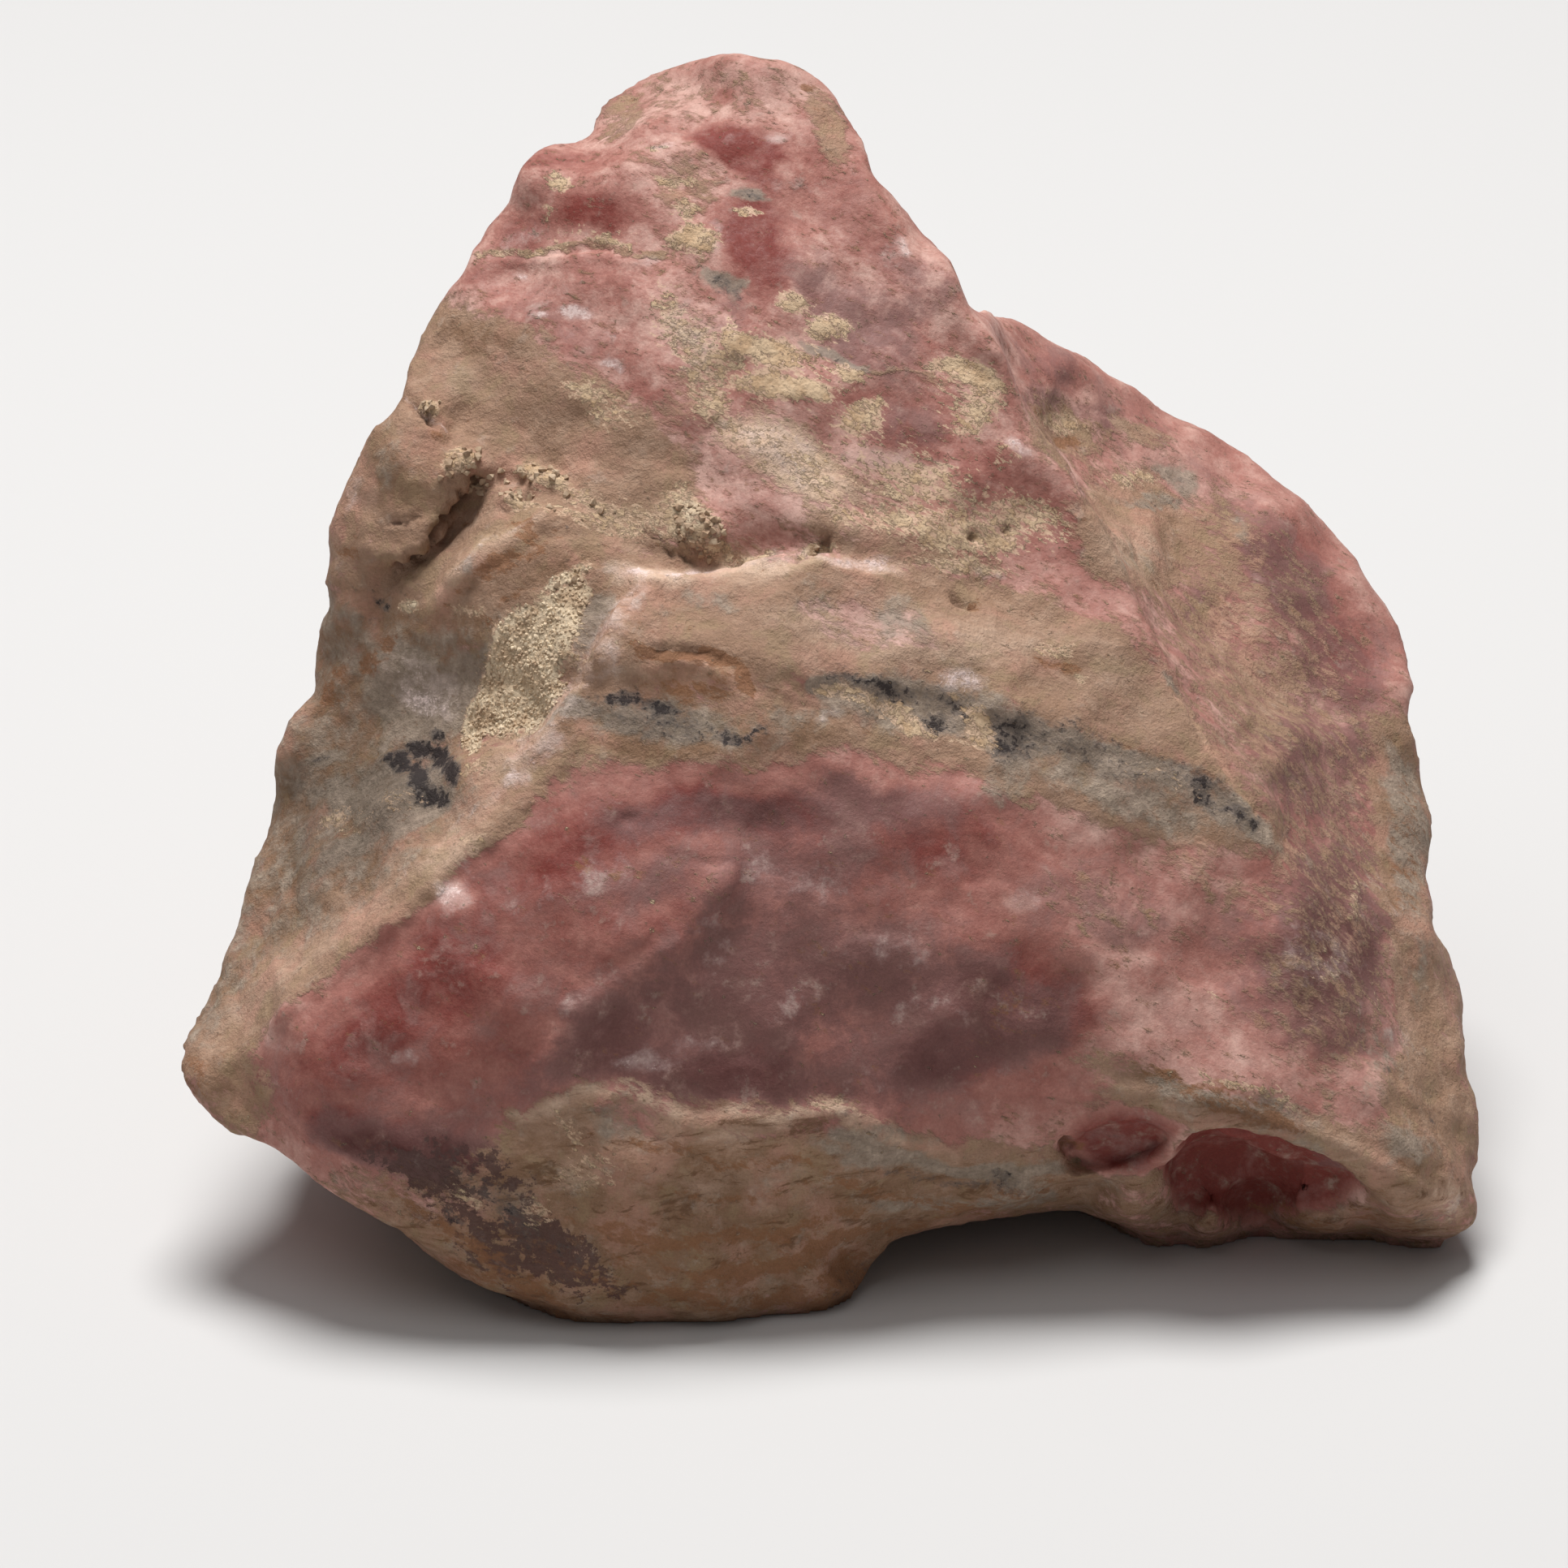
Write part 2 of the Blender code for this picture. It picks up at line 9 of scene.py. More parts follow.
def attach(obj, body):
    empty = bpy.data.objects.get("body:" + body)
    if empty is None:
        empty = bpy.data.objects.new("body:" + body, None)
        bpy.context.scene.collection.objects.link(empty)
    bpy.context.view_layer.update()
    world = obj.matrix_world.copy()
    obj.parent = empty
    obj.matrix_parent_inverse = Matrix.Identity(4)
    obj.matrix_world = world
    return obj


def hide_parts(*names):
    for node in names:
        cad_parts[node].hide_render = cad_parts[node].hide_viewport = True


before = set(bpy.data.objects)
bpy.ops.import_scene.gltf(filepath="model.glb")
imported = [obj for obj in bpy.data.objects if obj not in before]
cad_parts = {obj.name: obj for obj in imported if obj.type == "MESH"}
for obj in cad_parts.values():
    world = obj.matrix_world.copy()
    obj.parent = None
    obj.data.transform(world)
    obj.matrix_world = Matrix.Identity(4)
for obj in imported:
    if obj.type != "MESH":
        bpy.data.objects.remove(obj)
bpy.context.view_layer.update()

# The stone is looked at square to a plane that leans back from the table. Across, up and out are
# measured in that plane, and marks on the shown side are placed by the camera's frame, in pixels.
display = {
    "middle": Vector((-0.002342, -0.011321, 0.023339)),  # on the camera's line of sight, metres
    "lean": math.radians(25.0),
    "millimetre": 0.00099533,  # one drawn millimetre
    "pixel": 0.04,  # drawn millimetres
    "framePixels": 1932,
    "cameraDistance": 0.5,
    "sensorWidth": 36,
    "clipping": (0.01, 10),
}
upward = (0, math.sin(display["lean"]), math.cos(display["lean"]))  # up along the plane
outward = (0, -math.cos(display["lean"]), math.sin(display["lean"]))  # from it to the camera


def addCamera():
    far = display["cameraDistance"]
    towards = Vector(outward)
    data = bpy.data.cameras.new("camera")
    data.sensor_width = display["sensorWidth"]
    shownWidth = display["framePixels"] * display["pixel"] * display["millimetre"]
    data.lens = display["sensorWidth"] * far / shownWidth
    data.clip_start, data.clip_end = display["clipping"]
    camera = bpy.data.objects.new("camera", data)
    bpy.context.scene.collection.objects.link(camera)
    camera.location = display["middle"] + towards * far
    camera.rotation_mode = "QUATERNION"
    camera.rotation_quaternion = (-towards).to_track_quat("-Z", "Y")
    bpy.context.scene.camera = camera


addCamera()
print("camera placed")


def turnToDisplay(directions):
    up = directions[:, 1] * upward[1] + directions[:, 2] * upward[2]
    out = directions[:, 1] * outward[1] + directions[:, 2] * outward[2]
    return np.stack([directions[:, 0], up, out], axis=1)


def toDisplay(points):  # across, up and out, in drawn mm
    return turnToDisplay((points - np.array(display["middle"])) / display["millimetre"])


def toFrame(points):  # across and down, in pixels
    place = toDisplay(points)
    far = display["cameraDistance"] / display["millimetre"]
    grow = far / (far - place[:, 2]) / display["pixel"]
    half = display["framePixels"] / 2
    return np.stack([half + place[:, 0] * grow, half - place[:, 1] * grow], axis=1)


def ease(values, low, high):
    t = np.clip((values - low) / (high - low), 0, 1)
    return t * t * (3 - 2 * t)


octaveStep = 2.1  # how much finer each octave of noise is


def clouds(place, size, octaves=4, roughness=0.9, shift=0.0):  # about -1 to 1
    scaled = place * (1 / size) + shift
    return np.array([noise.fractal(p, roughness, octaveStep, octaves) for p in scaled])


def severalClouds(place, size, octaves, shifts):
    return np.stack([clouds(place, size, octaves, shift=shift) for shift in shifts], axis=1)


def alongLine(spots, corners):  # distance to a line in pixels, share of its length, and its left side
    corners = np.array(corners, float)
    lengths = np.linalg.norm(np.diff(corners, axis=0), axis=1)
    starts = np.concatenate([[0], np.cumsum(lengths)])
    best = np.full(len(spots), np.inf)
    share = np.zeros(len(spots))
    side = np.zeros(len(spots))
    for i, length in enumerate(lengths):
        direction = (corners[i + 1] - corners[i]) / length
        offset = spots - corners[i]
        t = np.clip(offset @ direction, 0, length)
        away = np.linalg.norm(offset - t[:, None] * direction, axis=1)
        closer = away < best
        best[closer] = away[closer]
        share[closer] = (starts[i] + t[closer]) / starts[-1]
        side[closer] = offset[closer, 0] * direction[1] - offset[closer, 1] * direction[0]
    return best, share, side


markFade = (0.35, 1.15)  # a mark fades between these shares of its half width


def inBlob(spots, blob):  # 1 in the middle, 0 outside
    x, y, long, short, turn = blob[:5]
    a = math.radians(turn)
    dx, dy = spots[:, 0] - x, spots[:, 1] - y
    along = (dx * math.cos(a) + dy * math.sin(a)) / long
    across = (dy * math.cos(a) - dx * math.sin(a)) / short
    return 1 - ease(np.hypot(along, across), *markFade)


def inStrip(spots, corners, widths):  # the same for a band along a line
    away, share, _ = alongLine(spots, corners)
    width = np.interp(share, np.linspace(0, 1, len(widths)), widths)
    return 1 - ease(away / width, *markFade)


def inArea(spots, corners, soft):  # 1 inside a closed outline, fading over the soft distance
    following = list(corners[1:]) + [corners[0]]
    away = alongLine(spots, list(corners) + [corners[0]])[0]
    inside = np.zeros(len(spots), bool)
    for (x1, y1), (x2, y2) in zip(corners, following):
        if y1 != y2:
            crosses = (y1 > spots[:, 1]) != (y2 > spots[:, 1])
            inside ^= crosses & (spots[:, 0] < (x2 - x1) * (spots[:, 1] - y1) / (y2 - y1) + x1)
    return ease(np.where(inside, away, -away), -soft, soft)


def allBlobs(spots, blobs):
    return np.clip(sum(blob[5] * inBlob(spots, blob) for blob in blobs), 0, 1)


stoneMesh = {
    "voxel": 0.00031,
    "weld": 1e-7,
    "easing": 4,  # smoothing passes over the coarse facets
    "easingPull": 0.5,
    "keptShare": 0.66,  # of the triangles, all lost on the far side
    "thinningSteps": 20,
    "facingEasing": 6,  # smoothing passes over how squarely the stone faces the camera
    "thinnedFacing": (-0.30, -0.10),  # fully thinned below the first, not at all above the second
    "shownFacing": (-0.35, -0.02),
}


def evaluated(owner, name):
    graph = bpy.context.evaluated_depsgraph_get()
    mesh = bpy.data.meshes.new_from_object(owner.evaluated_get(graph), depsgraph=graph)
    bpy.data.objects.remove(owner)
    mesh.name = name
    return mesh


def holdMesh(mesh, name):
    holder = bpy.data.objects.new(name, mesh)
    bpy.context.scene.collection.objects.link(holder)
    return holder


def readPoints(mesh):
    points = np.zeros(len(mesh.vertices) * 3)
    mesh.vertices.foreach_get("co", points)
    return points.reshape(-1, 3)


def writePoints(mesh, points):
    mesh.vertices.foreach_set("co", points.ravel())
    mesh.update()


def readNormals(mesh):
    normals = np.zeros(len(mesh.vertices) * 3)
    mesh.vertex_normals.foreach_get("vector", normals)
    return normals.reshape(-1, 3)


def readEdges(mesh):
    edges = np.zeros(len(mesh.edges) * 2, int)
    mesh.edges.foreach_get("vertices", edges)
    return edges.reshape(-1, 2)


def easePoints(mesh, values, passes):  # pulls each value towards its neighbours' mean
    edges, count = readEdges(mesh), len(values)
    ends = np.concatenate([edges[:, 0], edges[:, 1]])
    others = np.concatenate([edges[:, 1], edges[:, 0]])
    degree = np.bincount(ends, minlength=count)
    for _ in range(passes):
        sums = [np.bincount(ends, values[others, i], count) for i in range(values.shape[1])]
        mean = np.stack(sums, 1) / degree[:, None]
        values = values + (mean - values) * stoneMesh["easingPull"]
    return values


def facingCamera(mesh):  # 1 where the surface looks straight at the camera, -1 where it looks away
    return easePoints(mesh, turnToDisplay(readNormals(mesh)), stoneMesh["facingEasing"])[:, 2]


def fineMesh():
    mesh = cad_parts["rhodochrosite_stone"].data.copy()
    work = bmesh.new()
    work.from_mesh(mesh)
    bmesh.ops.remove_doubles(work, verts=work.verts, dist=stoneMesh["weld"])
    work.to_mesh(mesh)
    work.free()
    mesh.materials.clear()
    coarse = holdMesh(mesh, "coarseStone")
    remesh = coarse.modifiers.new("remesh", "REMESH")
    remesh.mode = "VOXEL"
    remesh.voxel_size = stoneMesh["voxel"]
    return evaluated(coarse, "evenStone")


def thinFarSide(mesh):  # keeps every triangle the camera sees
    weights = 1 - ease(facingCamera(mesh), *stoneMesh["thinnedFacing"])
    holder = holdMesh(mesh, "evenStone")
    group = holder.vertex_groups.new(name="farSide")
    steps = stoneMesh["thinningSteps"]
    for step in range(1, steps + 1):
        chosen = np.flatnonzero(np.round(weights * steps).astype(int) == step)
        if len(chosen):
            group.add(chosen.tolist(), step / steps, "REPLACE")
    thinning = holder.modifiers.new("thinning", "DECIMATE")
    thinning.ratio = stoneMesh["keptShare"]
    thinning.vertex_group = "farSide"
    return evaluated(holder, "stone")


stone = fineMesh()
writePoints(stone, easePoints(stone, readPoints(stone), stoneMesh["easing"]))
stone = thinFarSide(stone)
triangles = sum(len(polygon.vertices) - 2 for polygon in stone.polygons)
print("fine mesh:", len(stone.vertices), "corners,", triangles, "triangles")

points = readPoints(stone)
place = toDisplay(points)
spots = toFrame(points)
facing = facingCamera(stone)
shown = ease(facing, *stoneMesh["shownFacing"])  # 1 on what the camera sees
hidden = 1 - shown  # 1 on the far side

# Each mineral is a field over the stone, and a coat of it shows where the field is above about a
# half. Blobs are (across, down, half length, half width, turn, how much), strips are (corners, half
# widths, how much), and areas are (outline, soft distance, how much).

outlines = {  # corners of the large zones
    "chipRight": [
        (903, 1065), (856, 1099), (837, 1152), (744, 1209), (694, 1240), (687, 1277), (606, 1352),
        (700, 1350), (860, 1376), (1000, 1372), (1110, 1392), (1180, 1320), (1150, 1200), (1050, 1120),
        (960, 1080)],
    "rightSide": [
        (1500, 600), (1620, 700), (1690, 850), (1710, 1050), (1700, 1300), (1640, 1360), (1560, 1300),
        (1560, 1150), (1590, 1050), (1520, 900), (1450, 760)],
    "hollowLeft": [
        (1306, 1412), (1330, 1386), (1370, 1366), (1415, 1368), (1450, 1390), (1440, 1418),
        (1400, 1438), (1345, 1434)],
    "hollowRight": [
        (1436, 1436), (1490, 1398), (1570, 1404), (1650, 1436), (1680, 1470), (1640, 1500),
        (1540, 1508), (1460, 1486)],
    "streaked": [
        (560, 120), (1060, 120), (1240, 380), (1400, 700), (1000, 720), (760, 640), (520, 420)],
    "tanLeft": [
        (540, 370), (600, 395), (680, 415), (720, 460), (800, 500), (850, 560), (870, 640), (950, 690),
        (1060, 690), (1150, 700), (1300, 740), (1400, 800), (1480, 900), (1560, 1000), (1600, 1060),
        (1520, 1040), (1400, 1010), (1250, 950), (1130, 930), (1000, 930), (850, 930), (720, 960),
        (640, 990), (560, 1060), (450, 1150), (350, 1230), (260, 1300), (190, 1340), (180, 1200),
        (300, 1000), (370, 800), (390, 600), (440, 500), (505, 420)],
    "underside": [
        (420, 1425), (560, 1440), (640, 1395), (720, 1350), (860, 1380), (950, 1370), (1040, 1350),
        (1110, 1400), (1250, 1440), (1320, 1370), (1400, 1335), (1550, 1370), (1700, 1430),
        (1830, 1440), (1840, 1560), (1300, 1540), (1060, 1620), (800, 1660), (560, 1640), (380, 1470)],
    "rightMargin": [
        (1690, 880), (1740, 890), (1790, 1000), (1790, 1150), (1840, 1300), (1850, 1450), (1760, 1470),
        (1700, 1400), (1735, 1300), (1720, 1150), (1690, 1000)],
    "rightMottle": [
        (1270, 490), (1400, 530), (1500, 620), (1545, 740), (1580, 900), (1540, 1000), (1440, 840),
        (1360, 700), (1310, 600)],
    "frontFace": [
        (560, 1060), (720, 960), (850, 930), (1000, 930), (1130, 935), (1250, 960), (1300, 1100),
        (1290, 1330), (1110, 1400), (950, 1370), (720, 1350), (560, 1440), (380, 1420), (290, 1330),
        (400, 1220)],
    "leftSlope": [
        (400, 720), (520, 760), (620, 760), (610, 880), (560, 960), (600, 990), (480, 1090),
        (340, 1190), (240, 1290), (200, 1280), (320, 1000)],
}

minerals = {
    "rich": {"start": 0.34, "blobs": [  # how red the pink is
        (875, 115, 130, 40, -5, -0.12), (895, 120, 26, 16, 0, 0.35), (960, 560, 100, 40, 32, -0.25),
        (920, 610, 90, 40, 32, -0.1), (915, 178, 60, 28, 12, 1.0), (872, 170, 40, 12, 5, 0.4),
        (925, 208, 40, 22, 30, 0.55), (1015, 230, 90, 70, 50, 0.25), (932, 300, 50, 80, -6, 0.9),
        (740, 262, 66, 32, 4, 0.7), (700, 196, 70, 22, 0, 0.35), (645, 285, 50, 30, -40, 0.35),
        (1090, 300, 60, 40, 60, 0.2), (600, 340, 60, 20, -20, 0.25), (690, 400, 120, 50, 15, 0.1),
        (795, 476, 28, 14, 15, 0.35), (755, 350, 60, 30, 10, 0.2), (1060, 768, 170, 40, 6, -0.35),
        (820, 730, 60, 20, 5, -0.3), (865, 555, 44, 66, -35, -0.1), (940, 615, 80, 30, 25, -0.1),
        (1105, 520, 90, 40, 15, 0.35), (1075, 560, 60, 24, 10, -0.3), (1220, 590, 60, 40, 40, 0.3),
        (1290, 650, 60, 60, 60, 0.2), (1150, 660, 100, 40, 10, 0.3), (1340, 690, 60, 30, 50, 0.2),
        (1060, 350, 90, 40, 30, -0.1), (550, 1109, 40, 22, -15, -0.35), (545, 1215, 130, 60, -28, 0.28),
        (460, 1300, 130, 50, -5, 0.2), (500, 1302, 30, 18, 0, -0.25), (340, 1290, 30, 24, 0, -0.2),
        (650, 1050, 130, 50, -25, 0.15), (905, 1000, 150, 34, 4, 0.45), (1150, 1020, 90, 60, 30, 0.25),
        (800, 1120, 110, 60, -20, 0.05), (919, 1309, 60, 30, 0, 0.45), (1175, 1300, 80, 44, 0, 0.55),
        (1260, 1200, 60, 60, 50, 0.35), (1320, 1250, 50, 60, 30, 0.5), (1262, 1112, 34, 20, 0, -0.3),
        (1100, 1177, 80, 36, 0, -0.2), (1420, 1110, 110, 60, 25, 0.1), (1520, 1190, 110, 60, 35, 0.15),
        (1400, 1240, 90, 50, 20, -0.15), (1385, 1402, 66, 38, -5, 0.9), (1480, 1420, 60, 40, 20, -0.2),
        (1650, 1470, 60, 30, 20, -0.3), (1530, 1450, 90, 44, 12, 0.75), (1303, 460, 50, 24, 20, 0.3),
        (1400, 520, 80, 30, 35, 0.15), (1590, 700, 60, 90, -20, 0.4), (1660, 800, 50, 110, -20, 0.35),
        (1620, 1100, 120, 160, 10, 0.2), (450, 1385, 90, 24, 10, 0.45), (275, 1180, 14, 60, 25, 0.5),
        (430, 690, 30, 30, 0, 0.3), (1600, 1250, 120, 60, 35, 0.0),
    ], "strips": [
        ([(450, 1260), (560, 1150), (700, 1060), (860, 985)], [30, 40, 40, 30], 0.15),
    ], "areas": [
        # On the front face the deeper red is partly painted shade of a face turned from the overhead lamp.
        ("frontFace", 60, 0.34), ("chipRight", 40, -0.08), ("rightSide", 40, 0.08),
        ("hollowLeft", 12, 0.25), ("hollowRight", 12, 0.9),
    ]},
    "dusk": {"start": 0.02, "blobs": [  # how dull and mauve it is
        (1060, 410, 130, 66, 30, 0.6), (870, 112, 150, 44, -6, -0.35), (1340, 470, 120, 44, 32, 0.12),
        (1240, 1240, 130, 60, 20, 0.2), (1100, 985, 110, 34, 10, 0.3), (1350, 1120, 90, 60, 30, 0.2),
        (1130, 350, 70, 60, 30, 0.5), (1000, 330, 50, 60, 30, 0.3), (890, 385, 50, 34, 30, 0.4),
        (1105, 525, 80, 40, 10, 0.4), (1250, 640, 70, 60, 50, 0.25), (640, 340, 90, 40, 0, 0.2),
        (650, 280, 60, 30, -30, 0.2), (900, 1230, 210, 80, -12, 0.15), (1130, 1190, 130, 70, 0, 0.2),
        (740, 1290, 90, 50, -30, 0.3), (1175, 1305, 110, 44, 0, 0.42), (900, 1330, 120, 34, 0, 0.5),
        (1230, 1240, 90, 60, 40, 0.4), (775, 1010, 60, 26, 10, 0.4), (990, 1060, 120, 50, 0, 0.3),
        (1050, 990, 120, 40, 20, 0.25), (1283, 487, 34, 20, 20, 0.6), (1350, 510, 44, 22, 20, 0.4),
        (1640, 900, 90, 190, -10, 0.3), (1600, 1150, 140, 120, 20, 0.25),
        (1420, 1120, 140, 80, 20, 0.25), (1600, 710, 70, 90, -30, 0.35), (1460, 760, 70, 110, -30, 0.3),
        (1690, 800, 40, 90, -10, 0.3), (1420, 560, 120, 60, 35, 0.3), (1300, 450, 60, 30, 30, 0.35),
        (1540, 640, 60, 60, 40, 0.3), (1650, 1130, 80, 120, -20, 0.3), (1580, 1240, 120, 60, 40, 0.25),
        (1700, 1290, 70, 70, 0, 0.2), (560, 1430, 130, 34, 20, 0.5), (430, 1390, 90, 26, 10, 0.35),
        (1500, 1280, 120, 40, 30, 0.25), (450, 715, 34, 26, 0, 0.55), (620, 1490, 170, 80, 40, 0.6),
        (690, 1550, 110, 44, 32, 0.4), (905, 1000, 150, 30, 4, 0.4), (1310, 1250, 50, 60, 30, 0.35),
        (690, 400, 90, 40, 0, 0.25), (800, 1080, 90, 40, -20, 0.25), (1560, 950, 60, 90, -30, 0.2),
        (1650, 1200, 60, 60, 0, 0.25), (470, 1420, 90, 24, 20, 0.7), (700, 1560, 60, 26, 30, 0.6),
        (1630, 1450, 40, 30, 40, 0.5),
    ], "strips": [], "areas": [
        # On the front face and the chip below it the mauve is partly painted shade of faces turned from the
        # overhead lamp.
        ("frontFace", 60, 0.3), ("chipRight", 30, 0.3), ("rightSide", 50, 0.35),
        ("hollowRight", 14, 0.1), ("hollowLeft", 12, 0.3),
    ]},
    "tan": {"start": 0.14, "blobs": [  # how far the pink has turned to tan
        (870, 112, 150, 44, -6, 0.22), (760, 145, 40, 24, -30, 0.4), (1022, 160, 64, 22, 62, 0.8),
        (845, 235, 60, 44, 10, 0.45), (860, 300, 60, 30, -10, 0.4), (925, 262, 34, 10, 0, 0.4),
        (820, 185, 80, 22, -5, 0.2), (915, 180, 60, 24, 12, -0.5), (932, 300, 50, 80, -6, -0.6),
        (590, 420, 70, 40, 10, 0.7), (560, 470, 60, 50, 0, 0.7), (680, 540, 150, 90, 25, 0.85),
        (780, 570, 90, 70, 20, 0.6), (720, 620, 110, 40, 0, 0.7), (850, 400, 40, 60, -20, 0.4),
        (850, 480, 50, 40, 30, 0.4), (960, 560, 120, 50, 32, 0.8), (690, 1550, 110, 44, 32, 0.1),
        (1060, 768, 170, 40, 6, -1.3), (820, 730, 60, 20, 5, -0.6), (1060, 600, 80, 26, 25, 0.45),
        (1060, 660, 110, 34, 10, 0.6), (1180, 690, 90, 16, 5, 0.4), (500, 590, 80, 80, -40, 0.9),
        (600, 700, 170, 80, -15, 0.9), (470, 820, 80, 120, 10, 0.9), (420, 1000, 110, 100, -20, 0.8),
        (340, 1150, 80, 80, -50, 0.5), (860, 760, 160, 80, 0, 0.9), (1100, 770, 220, 74, 8, 0.9),
        (1340, 830, 130, 70, 30, 0.9), (1450, 930, 80, 50, 45, 0.8), (1400, 985, 190, 44, 18, 0.75),
        (800, 905, 130, 44, 5, 0.7), (960, 900, 90, 44, 10, 0.6), (1130, 905, 120, 50, 10, 0.75),
        (1290, 970, 110, 40, 15, 0.6), (1305, 530, 60, 44, 40, 0.55), (1390, 650, 90, 80, 40, 0.8),
        (1397, 680, 60, 50, 30, 0.4), (1500, 660, 60, 60, 0, 0.2), (1440, 760, 70, 70, 40, 0.12),
        (1540, 850, 80, 120, -30, 0.12), (1720, 1000, 34, 150, -2, 0.85),
        (1740, 1200, 34, 110, -8, 0.8), (1750, 1370, 60, 90, -10, 0.85), (900, 1500, 330, 110, 5, 0.95),
        (1150, 1440, 250, 44, 5, 0.85), (1470, 1360, 190, 34, 20, 0.7), (1660, 1420, 150, 40, 28, 0.8),
        (700, 1580, 300, 60, 15, 0.6), (290, 1350, 60, 70, -40, 0.7), (1330, 1120, 70, 80, 60, 0.2),
        (1430, 1130, 60, 30, 30, 0.15), (1190, 470, 60, 34, 25, 0.4), (690, 1400, 90, 40, 0, 0.6),
        (600, 470, 60, 40, 0, 0.3), (720, 1090, 90, 30, -30, 0.25), (880, 1080, 60, 40, 0, 0.3),
        (640, 1300, 50, 40, -40, 0.2), (1480, 1080, 160, 30, 25, 0.3), (1400, 530, 60, 20, 30, 0.5),
        (1570, 1500, 260, 14, 4, 0.5), (260, 1300, 40, 60, -20, 0.5), (1440, 1440, 60, 20, -20, 0.4),
        (1390, 680, 60, 44, 30, 0.3), (610, 1485, 160, 80, 42, 0.1), (480, 1420, 90, 20, 20, -0.1),
    ], "strips": [
        ([(250, 1280), (400, 1150), (560, 1030), (640, 965)], [50, 52, 46, 36], 0.85),
        ([(640, 965), (700, 900), (760, 800)], [26, 26, 30], 0.7),
        ([(440, 1150), (500, 1100), (570, 1050), (640, 985)], [24, 28, 28, 20], 0.7),
        ([(595, 316), (680, 310), (750, 304), (812, 315)], [5, 6, 6, 5], 0.8),
        ([(1070, 458), (1150, 462)], [5, 5], 0.6),
        ([(637, 1377), (719, 1350), (775, 1335), (856, 1377), (950, 1371), (1031, 1356), (1106, 1402),
          (1250, 1440)],
         [20, 20, 22, 24, 22, 20, 22, 26], 0.5),
    ], "areas": [
        ("frontFace", 50, -0.22), ("tanLeft", 34, 0.62), ("underside", 20, 0.4),
        ("rightMargin", 24, 0.55), ("rightMottle", 40, 0.14), ("rightSide", 50, 0.3),
        ("hollowLeft", 12, -1.8), ("hollowRight", 12, -2.2),
    ]},
    "cream": {"start": 0.36, "blobs": [  # how pale the tan is
        (860, 715, 120, 24, 0, 0.5), (1100, 780, 240, 50, 8, 0.34), (1350, 840, 130, 60, 35, 0.3),
        (1392, 684, 60, 44, 30, 0.4), (565, 465, 40, 30, 0, 0.3), (590, 415, 60, 26, 10, -0.3),
        # Round (960, 560) the tan is painted paler: partly its own peach, partly painted light on a face
        # the lamp leaves in shade.
        (750, 500, 60, 26, 15, -0.15), (960, 560, 120, 56, 32, 0.6), (500, 860, 110, 70, 20, 0.2),
        (560, 1060, 70, 26, -35, 0.45), (500, 560, 70, 80, 0, -0.25), (1780, 1480, 30, 30, 0, 0.5),
        (1725, 1000, 40, 130, 0, -0.25), (1500, 1350, 120, 24, 20, -0.3), (502, 530, 34, 34, 0, 0.25),
        (560, 650, 60, 20, -30, 0.2), (1010, 600, 150, 40, 30, 0.25), (870, 112, 150, 44, 0, 0.1),
        (850, 835, 80, 34, 0, -0.2), (900, 1500, 330, 100, 5, -0.28), (760, 1400, 50, 24, 20, 0.35),
        (900, 1400, 60, 20, 0, 0.3), (1020, 1385, 50, 14, -10, 0.35), (700, 1440, 40, 24, 0, 0.55),
        (840, 1455, 60, 20, 10, 0.5), (980, 1460, 60, 20, 0, 0.45), (900, 1545, 70, 20, 5, 0.4),
        (770, 1545, 40, 20, 20, 0.4), (800, 1450, 60, 20, 10, -0.25), (930, 1520, 100, 30, 0, -0.2),
        (1060, 1500, 60, 30, -10, -0.25), (1150, 1440, 60, 16, 10, -0.25),
        (740, 1530, 60, 30, 20, -0.2), (700, 700, 70, 24, -10, -0.3), (800, 1560, 300, 60, 8, -0.2),
        (430, 830, 50, 80, 0, -0.25), (420, 1010, 100, 90, 0, -0.2), (1330, 850, 120, 60, 30, -0.15),
        (1450, 700, 120, 120, 0, -0.1), (440, 875, 60, 22, -10, 0.3), (1620, 1400, 150, 24, 25, 0.3),
        (800, 905, 120, 40, 0, -0.5), (960, 905, 90, 34, 0, -0.3), (1230, 800, 60, 40, 10, 0.1),
        (730, 760, 30, 40, 30, -0.2), (1000, 740, 60, 24, 0, -0.15), (1310, 815, 40, 22, 0, -0.4),
        (1400, 985, 160, 34, 18, -0.15), (1440, 1360, 160, 20, 20, 0.2), (1740, 1400, 60, 50, 0, -0.15),
        (1110, 1420, 150, 30, 10, 0.15), (1250, 1500, 200, 30, 0, -0.2), (290, 1350, 50, 60, -40, -0.2),
    ], "strips": [
        ([(250, 1280), (400, 1150), (560, 1020), (690, 890)], [26, 30, 26, 20], 0.35),
        ([(637, 1377), (719, 1350), (775, 1335), (856, 1377), (950, 1371), (1031, 1356), (1106, 1402)],
         [12, 12, 14, 14, 14, 12, 14], 0.5),
        # The rib and ledge lip strips are partly painted highlights.
        ([(542, 740), (570, 704), (610, 676), (670, 644)], [10, 12, 12, 8], 0.35),
        ([(756, 706), (838, 720), (905, 708), (1015, 696), (1110, 704)], [16, 16, 14, 14, 12], 0.5),
    # The underside is painted darker towards its bottom. The left slope is painted darker and greyer:
    # partly its own grey, partly painted shade.
    ], "areas": [("underside", 40, -0.2), ("leftSlope", 30, -0.42)]},
    "stain": {"start": -0.05, "gain": 1.2, "blobs": [  # rusty brown
        (895, 120, 20, 12, 0, 0.5), (990, 108, 16, 10, 0, 0.9), (1012, 140, 20, 12, 60, 0.4),
